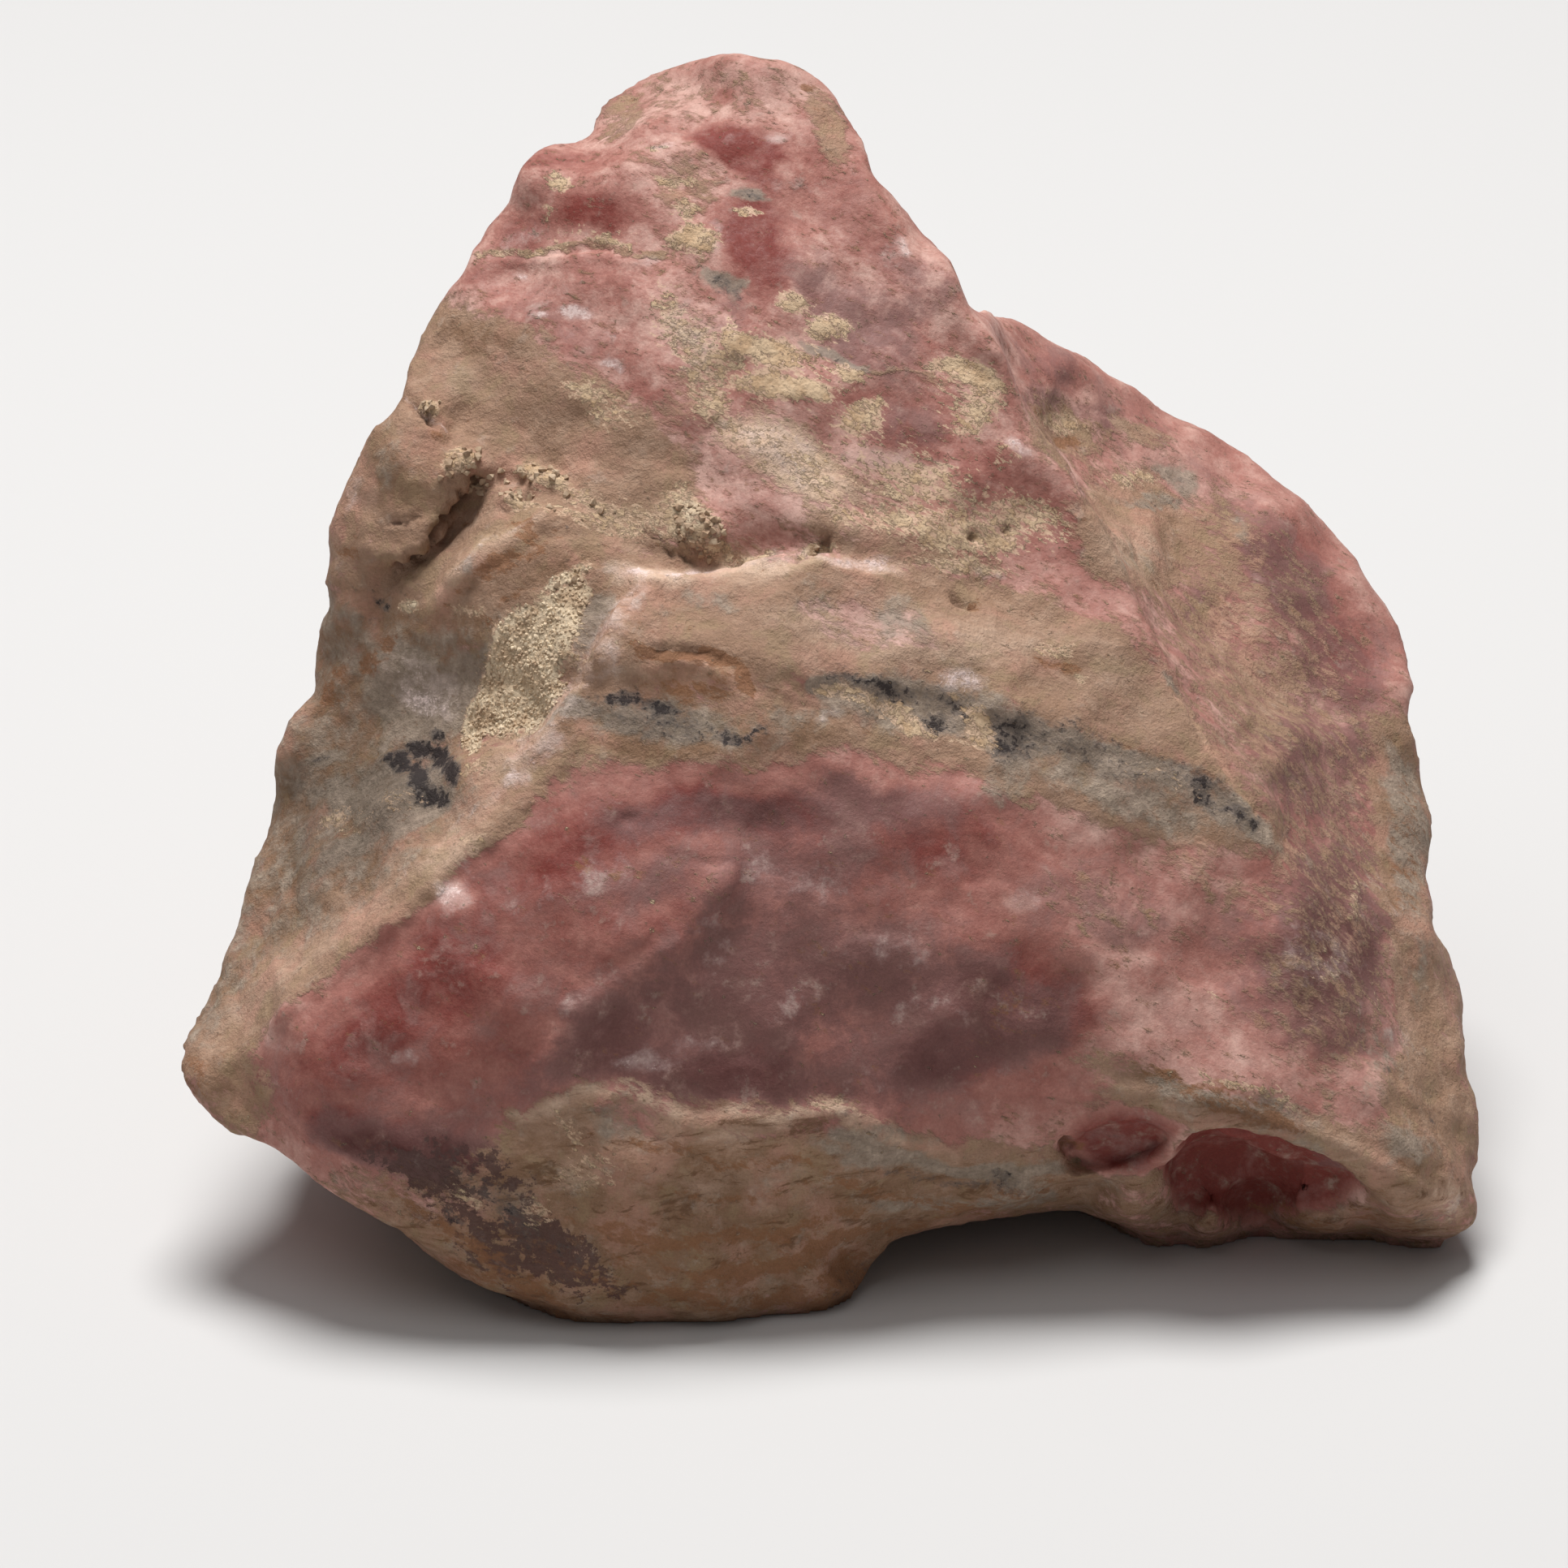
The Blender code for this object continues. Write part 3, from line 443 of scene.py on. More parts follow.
        (650, 656, 22, 14, 30, 0.75), (620, 688, 40, 8, -30, 0.5), (482, 796, 14, 24, 0, 0.6),
        (454, 824, 26, 18, 0, 0.6), (410, 850, 20, 50, 10, 0.45), (530, 540, 12, 26, -20, 0.45),
        (810, 806, 60, 7, 0, 0.85), (880, 812, 30, 10, 25, 0.7), (918, 846, 12, 26, -20, 0.75),
        (850, 850, 60, 16, 0, 0.45), (1317, 547, 20, 12, 0, 0.75), (1303, 513, 40, 12, 30, 0.4),
        (1310, 820, 34, 10, 10, 0.6), (1400, 922, 60, 8, 18, 0.6), (1480, 955, 16, 10, 0, 0.5),
        (756, 1074, 14, 8, 0, 0.7), (715, 1068, 16, 8, 0, 0.5), (700, 860, 20, 30, 40, 0.2),
        (1317, 1413, 14, 10, 0, 0.7), (1510, 1327, 20, 8, 20, 0.6), (1577, 1380, 24, 8, 30, 0.6),
        (520, 1490, 90, 16, 35, 0.5), (620, 1560, 90, 14, 30, 0.5), (980, 1600, 90, 10, -5, 0.5),
        (850, 1600, 90, 12, 0, 0.45), (1040, 1570, 30, 26, 0, 0.6), (240, 1330, 20, 40, -20, 0.5),
        (1700, 1506, 60, 10, 10, 0.4), (1610, 1510, 120, 8, 5, 0.4), (1100, 1510, 120, 8, -12, 0.5),
        (430, 690, 26, 22, 0, 0.35), (575, 640, 20, 6, -45, 0.6), (1205, 752, 12, 6, 30, 0.6),
        (1340, 1190, 60, 20, 0, 0.15), (900, 1560, 330, 70, 4, 0.3), (850, 838, 76, 30, 0, 0.2),
        (1250, 1240, 90, 40, 0, 0.15), (1500, 1350, 130, 26, 20, 0.5), (1730, 1050, 24, 130, 0, 0.3),
        (1250, 1470, 100, 12, -10, 0.4),
    ], "strips": [
        ([(780, 814), (820, 803), (870, 806), (905, 822), (924, 850)], [8, 9, 9, 8, 6], 0.5),
        ([(790, 862), (830, 872), (880, 868), (915, 852)], [7, 8, 8, 6], 0.4),
        ([(556, 760), (562, 738), (588, 714), (630, 690), (690, 664)], [10, 12, 12, 10, 8], 0.38),
        ([(600, 770), (620, 740), (660, 715)], [8, 8, 6], 0.45),
        ([(780, 1400), (880, 1430), (1000, 1440), (1100, 1470), (1250, 1500)], [9] * 5, 0.5),
        ([(700, 1500), (820, 1530), (960, 1520), (1060, 1490)], [9] * 4, 0.5),
        ([(760, 1450), (860, 1480), (960, 1475), (1060, 1450)], [7] * 4, 0.45),
        ([(860, 1575), (960, 1560), (1050, 1520)], [10] * 3, 0.5),
        # darker towards the underside's bottom edge
        ([(560, 1560), (680, 1610), (820, 1640), (980, 1630), (1060, 1580)], [14] * 5, 0.5),
    ]},
    "grey": {"start": 0.0, "gain": 1.15, "blobs": [  # grey alteration round the vein
        (922, 241, 30, 10, 3, 1.0), (885, 345, 34, 12, 32, 0.95), (910, 365, 14, 14, 40, 0.6),
        (1018, 435, 44, 10, 28, 0.8), (1055, 452, 30, 8, 20, 0.5), (482, 570, 24, 40, 20, 0.35),
        (530, 850, 80, 50, 35, 0.7), (600, 820, 44, 34, 0, 0.4), (500, 880, 60, 34, 20, 0.5),
        (470, 975, 90, 34, -10, 0.5), (398, 935, 26, 12, 0, 0.6), (520, 1000, 60, 20, -30, 0.6),
        (430, 1050, 70, 20, -35, 0.4), (590, 690, 34, 12, -45, 0.4), (730, 765, 24, 50, 32, 0.9),
        (700, 885, 44, 12, -35, 0.7), (800, 888, 110, 34, 5, 0.75), (930, 900, 80, 30, 0, 0.4),
        (1000, 740, 50, 24, 0, 0.3), (1112, 762, 54, 30, 0, 0.45), (840, 750, 90, 14, 0, 0.35),
        (1455, 590, 44, 22, 30, 0.8), (1420, 618, 60, 12, 10, 0.6), (1530, 650, 16, 34, 0, 0.45),
        (1400, 690, 50, 26, 0, 0.3), (1720, 950, 30, 60, 0, 0.5), (1735, 1040, 30, 110, 0, 0.7),
        (1750, 1200, 24, 80, 0, 0.4), (1390, 985, 170, 30, 18, 0.62), (1240, 960, 40, 40, 60, 0.4),
        (1440, 842, 24, 8, 50, 0.6), (1700, 1300, 40, 60, 0, 0.35), (1730, 1413, 54, 22, 15, 0.6),
        (1600, 1400, 60, 12, 25, 0.4), (1080, 1425, 110, 14, 12, 0.5), (1230, 1450, 70, 18, 10, 0.6),
        (1100, 1395, 90, 12, 10, 0.4), (590, 1460, 110, 24, 30, 0.15), (660, 1500, 70, 44, 50, 0.1),
        (760, 1380, 40, 30, 0, 0.35), (1470, 1345, 80, 16, 15, 0.6), (1560, 1362, 90, 16, 20, 0.5),
        (1570, 1040, 30, 30, 0, 0.35), (1000, 880, 60, 24, 0, 0.4),
    ], "strips": [
        ([(1000, 842), (1100, 862), (1180, 880), (1250, 905), (1340, 925), (1420, 948), (1480, 965),
          (1550, 1025)],
         [16, 36, 44, 34, 26, 24, 26, 16], 0.8),
        ([(1030, 1392), (1120, 1422), (1220, 1445), (1310, 1440)], [10, 12, 12, 10], 0.6),
        ([(1080, 1480), (1180, 1480), (1300, 1468)], [7, 9, 7], 0.5),
    # The left slope's grey is partly painted shade.
    ], "areas": [("leftSlope", 30, 0.42), ("underside", 40, 0.12)]},
    "soot": {"start": -0.12, "gain": 1.35, "blobs": [  # black oxide
        (766, 858, 34, 12, 4, 0.85), (812, 872, 30, 10, 15, 0.7), (780, 884, 90, 30, 8, 0.3),
        (860, 898, 80, 22, 8, 0.3), (906, 904, 22, 9, 20, 0.55), (932, 900, 22, 8, 0, 0.5),
        (488, 938, 20, 15, 0, 1.0), (518, 922, 26, 13, 20, 1.0), (544, 910, 13, 10, 0, 0.9),
        (542, 940, 15, 20, 0, 1.0), (512, 958, 17, 20, 0, 1.0), (532, 984, 28, 14, 20, 1.0),
        (560, 960, 16, 18, 0, 1.0), (520, 950, 50, 44, 0, 0.3), (398, 934, 14, 7, 0, 0.55),
        (466, 742, 20, 10, 30, 0.5), (450, 760, 20, 6, 0, 0.35), (1085, 848, 30, 9, 12, 0.32),
        (1130, 858, 34, 12, 8, 0.05), (1150, 900, 12, 16, 0, 0.45), (1180, 880, 30, 10, 30, 0.45),
        (1232, 918, 13, 9, 0, 0.42), (1255, 898, 24, 16, -20, 0.04), (1110, 850, 30, 12, 10, 0.25),
        (1480, 962, 16, 12, 10, 0.42), (1486, 980, 14, 14, 0, 0.42), (1522, 1006, 16, 8, 45, 0.4),
        (1540, 1018, 9, 7, 0, 0.7), (888, 350, 34, 9, 35, 0.45), (912, 370, 10, 16, -20, 0.35),
        (922, 241, 26, 7, 0, 0.5), (1022, 440, 40, 7, 28, 0.36), (1455, 590, 26, 12, 30, 0.35),
        (1388, 790, 7, 3, 45, 0.8), (1502, 1245, 5, 4, 0, 0.8), (775, 1008, 22, 16, 0, 0.3),
        (600, 1460, 90, 22, 35, 0.3), (640, 1510, 60, 34, 45, 0.3), (700, 1545, 34, 16, 30, 0.35),
        (560, 1500, 24, 12, 40, 0.4), (1235, 1448, 34, 10, 5, 0.45), (1712, 1312, 6, 8, 0, 0.7),
        (1762, 1380, 7, 7, 0, 0.6), (1768, 1340, 8, 8, 0, 0.4), (752, 405, 4, 3, 0, 0.6),
        (692, 402, 3, 3, 0, 0.5), (1740, 1500, 24, 7, 20, 0.5), (1060, 838, 50, 6, 8, 0.3),
        (700, 655, 3, 3, 0, 0.5), (1420, 620, 40, 4, 8, 0.35),
    ], "strips": [
        ([(1240, 905), (1310, 914), (1350, 924), (1410, 942), (1480, 965),
          (1540, 1016)], [34, 40, 36, 38, 30, 20], 0.34),
        # darker towards the underside's bottom edge
        ([(560, 1590), (700, 1622), (850, 1645), (1000, 1620), (1060, 1570)], [14] * 5, 0.3),
        ([(1060, 1440), (1150, 1455), (1260, 1462)], [6, 8, 6], 0.4),
        ([(1020, 840), (1090, 852), (1160, 872), (1240, 905)], [22, 44, 52, 40], 0.32),
    ]},
    "crust": {"start": -0.42, "gain": 2.1, "blobs": [  # ochre crust, in parts granular
        (960, 450, 110, 56, 20, 0.26), (1190, 490, 70, 66, 20, 0.24), (1180, 640, 150, 66, 8, 0.27),
        (855, 430, 50, 106, -25, 0.27), (950, 560, 120, 46, 34, 0.24), (1080, 560, 110, 60, 20, 0.2),
        (740, 630, 110, 40, 15, 0.16), (720, 290, 90, 20, 0, 0.14), (660, 800, 70, 90, 25, 0.3),
        (912, 422, 24, 22, 20, 0.5), (955, 440, 40, 24, 0, 0.4), (965, 480, 66, 17, 6, 0.62),
        (1010, 490, 30, 12, 30, 0.5), (975, 375, 30, 16, 15, 0.5), (1025, 406, 40, 20, 20, 0.54),
        (1046, 462, 24, 14, 20, 0.45), (1065, 512, 38, 20, -25, 0.42), (1165, 450, 32, 12, 10, 0.45),
        (1202, 466, 42, 19, 20, 0.42), (1215, 500, 34, 36, 20, 0.26), (1190, 525, 30, 26, 30, 0.16),
        (862, 298, 34, 26, -10, 0.62), (832, 302, 22, 12, 0, 0.5), (818, 228, 20, 10, 20, 0.55),
        (845, 226, 18, 8, -20, 0.5), (850, 262, 26, 20, 0, 0.4), (688, 228, 22, 14, 20, 0.55),
        (675, 256, 20, 8, 10, 0.35), (812, 180, 18, 5, 0, 0.4), (660, 305, 14, 4, 0, 0.5),
        (750, 300, 34, 6, 0, 0.45), (925, 262, 30, 7, 5, 0.45), (900, 400, 14, 26, 10, 0.35),
        (840, 400, 34, 60, -25, 0.12), (870, 470, 44, 44, 20, 0.12), (905, 520, 60, 22, 32, 0.1),
        (960, 560, 80, 24, 34, 0.08), (1010, 600, 60, 22, 28, 0.18), (1060, 640, 70, 22, 10, 0.25),
        (1195, 660, 76, 34, 4, 0.22), (1260, 625, 44, 26, 10, 0.22), (1150, 600, 60, 20, 15, 0.1),
        (1130, 645, 44, 22, 10, 0.15), (1170, 580, 70, 14, -10, 0.1), (1090, 580, 40, 12, 10, 0.1),
        (1300, 650, 30, 40, -20, 0.2), (1240, 560, 30, 26, 30, 0.2), (1180, 700, 80, 12, 8, 0.45),
        (750, 500, 60, 24, 22, 0.32), (720, 480, 30, 14, 10, 0.2), (572, 574, 34, 18, -30, 0.55),
        (668, 586, 40, 14, 12, 0.6), (640, 614, 20, 14, 0, 0.4), (725, 615, 60, 20, 15, 0.22),
        (780, 640, 50, 24, 20, 0.25), (845, 640, 50, 36, 40, 0.5), (890, 680, 34, 18, 20, 0.5),
        (1005, 680, 34, 9, -22, 0.8), (930, 694, 24, 6, -20, 0.6), (530, 505, 16, 11, 20, 0.85),
        (508, 745, 26, 14, 20, 0.5), (575, 755, 30, 12, 10, 0.35), (700, 715, 40, 16, -20, 0.6),
        (1330, 836, 14, 6, 20, 0.6), (1300, 800, 34, 14, 0, 0.35), (1395, 590, 50, 10, 10, 0.4),
        (1310, 520, 34, 16, 30, 0.4), (1118, 886, 20, 36, -25, 0.43), (1140, 905, 34, 14, 30, 0.34),
        (1060, 862, 70, 16, 14, 0.36), (1020, 846, 30, 8, 0, 0.3), (1196, 880, 34, 16, 20, 0.36),
        (1206, 904, 34, 24, 20, 0.45), (1180, 918, 20, 8, 20, 0.3), (1170, 858, 12, 10, 0, 0.35),
        (440, 1010, 70, 26, -25, 0.15), (500, 985, 40, 16, 10, 0.2), (590, 960, 30, 14, -30, 0.3),
        (412, 1010, 30, 12, -40, 0.25), (1500, 1235, 20, 8, 30, 0.3), (1670, 1113, 9, 32, 10, 0.34),
        (1700, 1230, 40, 60, 0, 0.1), (1640, 1190, 50, 30, 20, 0.14), (1540, 1340, 110, 10, 22, 0.3),
        (700, 1390, 40, 18, 30, 0.3), (1020, 1356, 30, 7, -10, 0.5), (1440, 960, 90, 20, 20, 0.14),
        (575, 1471, 30, 16, 20, 0.3), (662, 1496, 24, 30, -30, 0.3), (720, 1440, 60, 30, 0, 0.25),
        (740, 800, 60, 20, 0, 0.1), (590, 1040, 40, 10, -40, 0.3),
    ], "strips": [
        ([(712, 738), (690, 765), (655, 800), (644, 840), (612, 885),
          (590, 925)], [14, 34, 50, 42, 34, 12], 1.1),
        ([(596, 316), (650, 314), (700, 308)], [5, 5, 5], 0.4),
        ([(640, 620), (700, 640), (780, 660)], [10, 12, 10], 0.2),
        ([(600, 905), (640, 890), (690, 850)], [24, 24, 12], 0.6),
    ]},
    "mottle": {"start": -0.9, "blobs": [  # dark purple-brown patches with tan islands
        (600, 1478, 170, 74, 42, 1.3), (705, 1550, 100, 46, 30, 1.1), (480, 1425, 100, 26, 20, 1.1),
        (640, 1440, 60, 30, 20, 0.5), (820, 1590, 160, 30, 6, 0.55), (980, 1590, 100, 26, -10, 0.6),
        (1040, 1570, 40, 24, 0, 0.5), (550, 1510, 150, 44, 42, 0.55), (650, 1580, 110, 30, 28, 0.6),
    ], "strips": []},
    "frostAndGlints": {"start": -0.42, "gain": 1.3, "blobs": [  # white crystalline frost, and painted highlights and glints on the crest, the ledge lip and the pink faces
        (960, 1240, 90, 34, -14, 0.22), (1150, 1250, 80, 26, 8, 0.24), (1090, 1330, 90, 24, -6, 0.22),
        (1240, 1330, 60, 24, 20, 0.2), (665, 388, 18, 8, 0, 0.8), (710, 382, 30, 9, 5, 0.75),
        (742, 404, 22, 7, 30, 0.5), (690, 370, 90, 30, 8, 0.2), (752, 452, 26, 9, 14, 0.95),
        (795, 320, 26, 8, 0, 0.5), (1120, 308, 11, 22, -8, 0.7), (1257, 552, 20, 11, 40, 0.75),
        (815, 178, 18, 6, 0, 0.7), (960, 165, 26, 8, 10, 0.6), (900, 165, 20, 6, -10, 0.4),
        (645, 342, 16, 5, 5, 0.75), (640, 290, 44, 12, -30, 0.4), (550, 1109, 36, 20, -10, 0.5),
        (560, 1090, 60, 14, -30, 0.35), (1262, 1112, 34, 20, 5, 0.45), (500, 1302, 26, 16, 0, 0.45),
        (342, 1288, 34, 18, 0, 0.4), (1182, 838, 34, 22, -6, 0.74), (850, 712, 40, 10, 0, 0.6),
        (778, 708, 16, 8, 0, 0.5), (794, 1309, 60, 20, 8, 0.5), (860, 1290, 70, 16, 0, 0.3),
        (1700, 1110, 40, 50, 0, 0.3), (1630, 1180, 60, 44, 30, 0.42), (1720, 1270, 30, 20, 0, 0.4),
        (434, 608, 12, 30, 20, 0.5), (850, 400, 60, 60, 40, 0.4), (960, 560, 100, 44, 34, 0.5),
        (530, 845, 70, 44, 35, 0.5), (885, 300, 8, 44, 10, 0.5), (720, 1080, 160, 30, -28, 0.3),
        (980, 1080, 120, 40, 20, 0.3), (870, 1160, 40, 60, 20, 0.3), (1080, 560, 60, 22, 10, 0.35),
        (1120, 590, 20, 8, -20, 0.5), (1075, 300, 60, 40, 30, 0.2), (1000, 240, 60, 20, 30, 0.25),
        (1100, 1177, 80, 30, 0, 0.3), (690, 1250, 60, 12, -40, 0.3), (1480, 862, 14, 6, 50, 0.5),
        (1783, 1480, 20, 20, 0, 0.4), (1060, 700, 60, 14, 0, 0.3), (1210, 708, 30, 7, 20, 0.5),
        (900, 600, 70, 22, 30, 0.25), (1010, 880, 30, 10, 10, 0.4), (1400, 1230, 70, 20, 10, 0.25),
        (520, 870, 50, 20, 20, 0.3), (1500, 1240, 44, 24, 30, 0.3), (870, 470, 60, 40, 40, 0.3),
        (940, 230, 50, 14, 20, 0.3),
    ], "strips": [
        # painted highlights along the crest and the ledge lip, with white frost
        ([(640, 962), (702, 872), (740, 800), (760, 765), (790, 728)], [26, 30, 30, 30, 24], 0.48),
        ([(756, 704), (804, 709), (838, 717), (871, 714), (905, 704), (938, 695), (1015, 691),
          (1100, 700)], [16] * 8, 0.42),
        ([(505, 496), (536, 524), (548, 540)], [3, 4, 4], 0.7),
        ([(573, 702), (610, 672), (660, 646)], [7, 7, 5], 0.45),
        ([(500, 1080), (580, 1010), (640, 965)], [8, 8, 6], 0.35),
    ]},
    "tone": {"start": 1.0, "blobs": [  # painted light and shade over the whole surface: faces painted lighter or darker in place of light and shade, painted highlights along the crest, ribs and ledge lip, and in a few places the stone's own lightness
        (430, 1000, 120, 90, -30, -0.4), (670, 790, 40, 50, 25, -0.08), (800, 890, 120, 30, 5, -0.16),
        (600, 880, 50, 60, 30, 0.1), (850, 838, 80, 30, 0, 0.32), (590, 450, 90, 60, 0, -0.08),
        (750, 500, 90, 50, 20, -0.1), (1350, 840, 140, 70, 30, -0.08), (1000, 780, 160, 60, 5, -0.07),
        (1320, 1250, 70, 60, 30, -0.25), (905, 1000, 150, 34, 4, -0.25),
        (1650, 1200, 90, 110, 0, -0.13), (1500, 1350, 150, 34, 20, -0.2),
        (1345, 515, 100, 50, 32, -0.1), (1600, 720, 80, 100, -30, -0.1),
        (1060, 300, 60, 90, -40, -0.09), (1130, 862, 60, 20, 10, 0.12), (1165, 880, 80, 40, 15, 0.1),
        (1220, 600, 80, 50, 30, 0.05), (1780, 1480, 40, 40, 0, 0.17), (1440, 1120, 120, 70, 20, -0.08),
        (1262, 1112, 70, 40, 0, -0.08), (1460, 760, 60, 90, -30, 0.05), (1560, 950, 70, 100, -30, -0.1),
        (870, 112, 150, 44, -6, -0.06), (530, 845, 60, 50, 0, 0.07), (965, 480, 80, 40, 0, 0.04),
        (1725, 1000, 40, 140, 0, -0.08), (740, 1310, 120, 50, -20, 0.12), (680, 560, 110, 50, 20, 0.05),
        (620, 1490, 120, 50, 40, -0.06), (690, 400, 90, 40, 0, -0.07), (930, 300, 50, 80, 0, -0.06),
        (760, 630, 140, 40, 10, -0.1), (1175, 1309, 90, 40, 0, -0.04), (728, 800, 22, 60, 28, -0.2),
        (730, 745, 34, 26, 30, -0.14), (1375, 1408, 66, 34, -5, -0.12), (1140, 880, 60, 30, 20, 0.12),
        (500, 600, 70, 80, 0, 0.04), (430, 1000, 60, 60, -30, 0.06), (548, 1108, 44, 24, -15, 0.25),
        (1303, 460, 50, 24, 20, 0.1), (860, 1420, 230, 40, 4, 0.13),
    ], "strips": [
        # painted highlights along the crest, the ledge's right edge, the rib and the ledge lip
        ([(690, 890), (706, 866), (742, 798), (762, 762), (792, 728)], [18, 22, 24, 24, 18], 0.13),
        ([(1430, 835), (1480, 905), (1530, 985), (1560, 1030)], [7] * 4, 0.2),
        ([(540, 745), (574, 704), (610, 676), (670, 646), (735, 640)], [16] * 5, 0.14),
        ([(792, 712), (838, 720), (871, 716), (905, 706), (938, 698), (1015, 694),
          (1080, 700)], [16] * 7, 0.08),
    ]},
}

crumbSpots = [  # where single crumbs stick: across, down, half length, half width, turn, how many
    (572, 576, 34, 16, -40, 0.9), (668, 588, 44, 14, 15, 1.0), (628, 618, 10, 8, 0, 0.8),
    (530, 505, 14, 10, 20, 0.9), (640, 610, 30, 12, 0, 0.4), (740, 630, 60, 16, 20, 0.35),
    (858, 654, 50, 32, 35, 0.9), (700, 720, 30, 16, -20, 0.5), (590, 600, 16, 10, -40, 0.7),
    (1005, 680, 30, 8, -22, 0.5), (690, 640, 30, 10, 10, 0.5), (610, 590, 20, 12, 0, 0.3),
]

granularSpots = [  # where the crust is thick and granular, in the same terms
    (655, 820, 150, 84, -62, 1.8), (600, 915, 60, 40, -40, 1.4), (855, 652, 70, 46, 35, 0.6),
    (508, 745, 36, 22, 0, 1.2), (700, 715, 54, 26, 0, 1.2),
]

wander = {"reach": 13, "size": 3.0, "octaves": 4, "shifts": (11.3, 47.9)}  # of the marks' edges
zoneFade = {"underside": 30, "streaked": 90}  # pixels over which these zones end

farClouds = {  # the same minerals on the far side: size in mm, octaves, shift, middle, how much
    "tan": (22.0, 3, 5.7, 0.35, 0.9),
    "rich": (12.0, 3, 19.1, 0.15, 0.6),
    "dusk": (14.0, 3, 31.7, 0.2, 0.6),
    "crust": (7.0, 4, 71.3, 0.15, 0.7),
    "frostAndGlints": (5.0, 4, 13.9, 0.0, 0.2),
}
farVein = {  # the vein goes round the stone as a wavy sheet, in drawn mm
    "height": 3.0, "rise": 0.25, "wave": 2.0, "waveSize": 9.0, "shift": 83.1,
    "minerals": {"grey": (0.8, 0.6, 3.0), "soot": (0.6, 0.2, 1.2)},  # how much, fading from and to
}
farGrain = 0.4  # how streaky the far side is


def layMineral(name):
    rule = minerals[name]
    field = np.zeros(len(points))
    for blob in rule["blobs"]:
        field += blob[5] * inBlob(warped, blob)
    for corners, widths, amount in rule["strips"]:
        field += amount * inStrip(warped, corners, widths)
    for area, soft, amount in rule.get("areas", []):
        field += amount * inArea(warped, outlines[area], soft)
    return rule["start"] + field * rule.get("gain", 1.0) * shown


def layFarSide():  # adds to the fields already there
    for name, (size, octaves, shift, middle, amount) in farClouds.items():
        fields[name] += hidden * (middle + amount * clouds(place, size, octaves, shift=shift))
    waves = farVein["wave"] * clouds(place, farVein["waveSize"], shift=farVein["shift"])
    sheet = np.abs(place[:, 1] - farVein["height"] + farVein["rise"] * place[:, 2] + waves)
    for name, (amount, near, far) in farVein["minerals"].items():
        fields[name] += hidden * amount * (1 - ease(sheet, near, far))


def storeField(name, values):
    layer = stone.attributes.new(name, "FLOAT", "POINT")
    layer.data.foreach_set("value", values.astype(np.float32))


warped = spots + severalClouds(place, wander["size"], wander["octaves"], wander["shifts"]) * wander["reach"]
fields = {name: layMineral(name) for name in minerals}
layFarSide()
fields["crumbs"] = shown * allBlobs(spots, crumbSpots)
fields["granules"] = fields["crust"] * (shown * allBlobs(spots, granularSpots) + hidden)
fields["banded"] = shown * inArea(warped, outlines["underside"], zoneFade["underside"])
streaked = inArea(spots, outlines["streaked"], zoneFade["streaked"])
fields["grain"] = shown * streaked + hidden * farGrain
for name, values in fields.items():
    storeField(name, values)
print("minerals laid")

carving = {
    # cuts: corners, half width in pixels, depth in mm
    "lumpCrack": ([(592, 594), (566, 616), (548, 636), (530, 656), (518, 676), (490, 696), (484, 716)],
                  5, 0.7),
    "lumpNotch": ([(505, 496), (520, 510), (536, 526)], 6, 0.6),
    "lumpLine": ([(478, 645), (500, 641), (520, 636)], 4, 0.3),
    "slitLeft": ([(786, 646), (794, 658), (826, 676), (846, 686), (864, 700)], 4, 0.4),
    "slitMiddle": ([(892, 699), (920, 691)], 3, 0.5),
    "slitRight": ([(974, 682), (986, 690), (1006, 678), (1032, 660)], 4, 0.5),
    "smallSlot": ([(1165, 733), (1185, 742), (1206, 750)], 5, 0.45),
    "lensTop": ([(785, 812), (820, 802), (870, 804), (905, 822)], 9, 0.25),
    "redLine": ([(598, 318), (680, 313), (750, 307), (812, 318)], 4, 0.15),
    "bandShade": ([(560, 760), (566, 738), (590, 712), (626, 688), (680, 662), (740, 655)], 5, 0.12),
}
pits = [  # across, down, radius, depth
    (650, 612, 8, 0.7), (586, 594, 9, 0.6), (1200, 660, 9, 0.4), (1241, 652, 6, 0.35),
    (850, 846, 50, 0.25), (1314, 1411, 12, 0.6), (1050, 1560, 30, 0.4), (775, 1009, 12, 0.15),
    (660, 250, 14, 0.1), (1262, 1240, 20, 0.1),
]
swells = [  # across, down, half length, half width, turn, height
    (968, 604, 120, 64, 32, 0.6), (588, 916, 68, 88, 25, 0.75), (858, 650, 44, 26, 35, 0.3),
    (572, 580, 30, 14, -40, 0.5), (668, 588, 40, 16, 15, 0.45), (672, 790, 60, 90, 25, 0.14),
    (965, 470, 60, 40, 6, 0.16), (862, 298, 36, 22, -10, 0.14), (1025, 406, 34, 16, 20, 0.12),
    (628, 618, 12, 9, 0, 0.4), (530, 505, 14, 10, 20, 0.35), (520, 560, 50, 60, 20, 0.2),
    (1670, 1113, 8, 30, 10, 0.15),
]
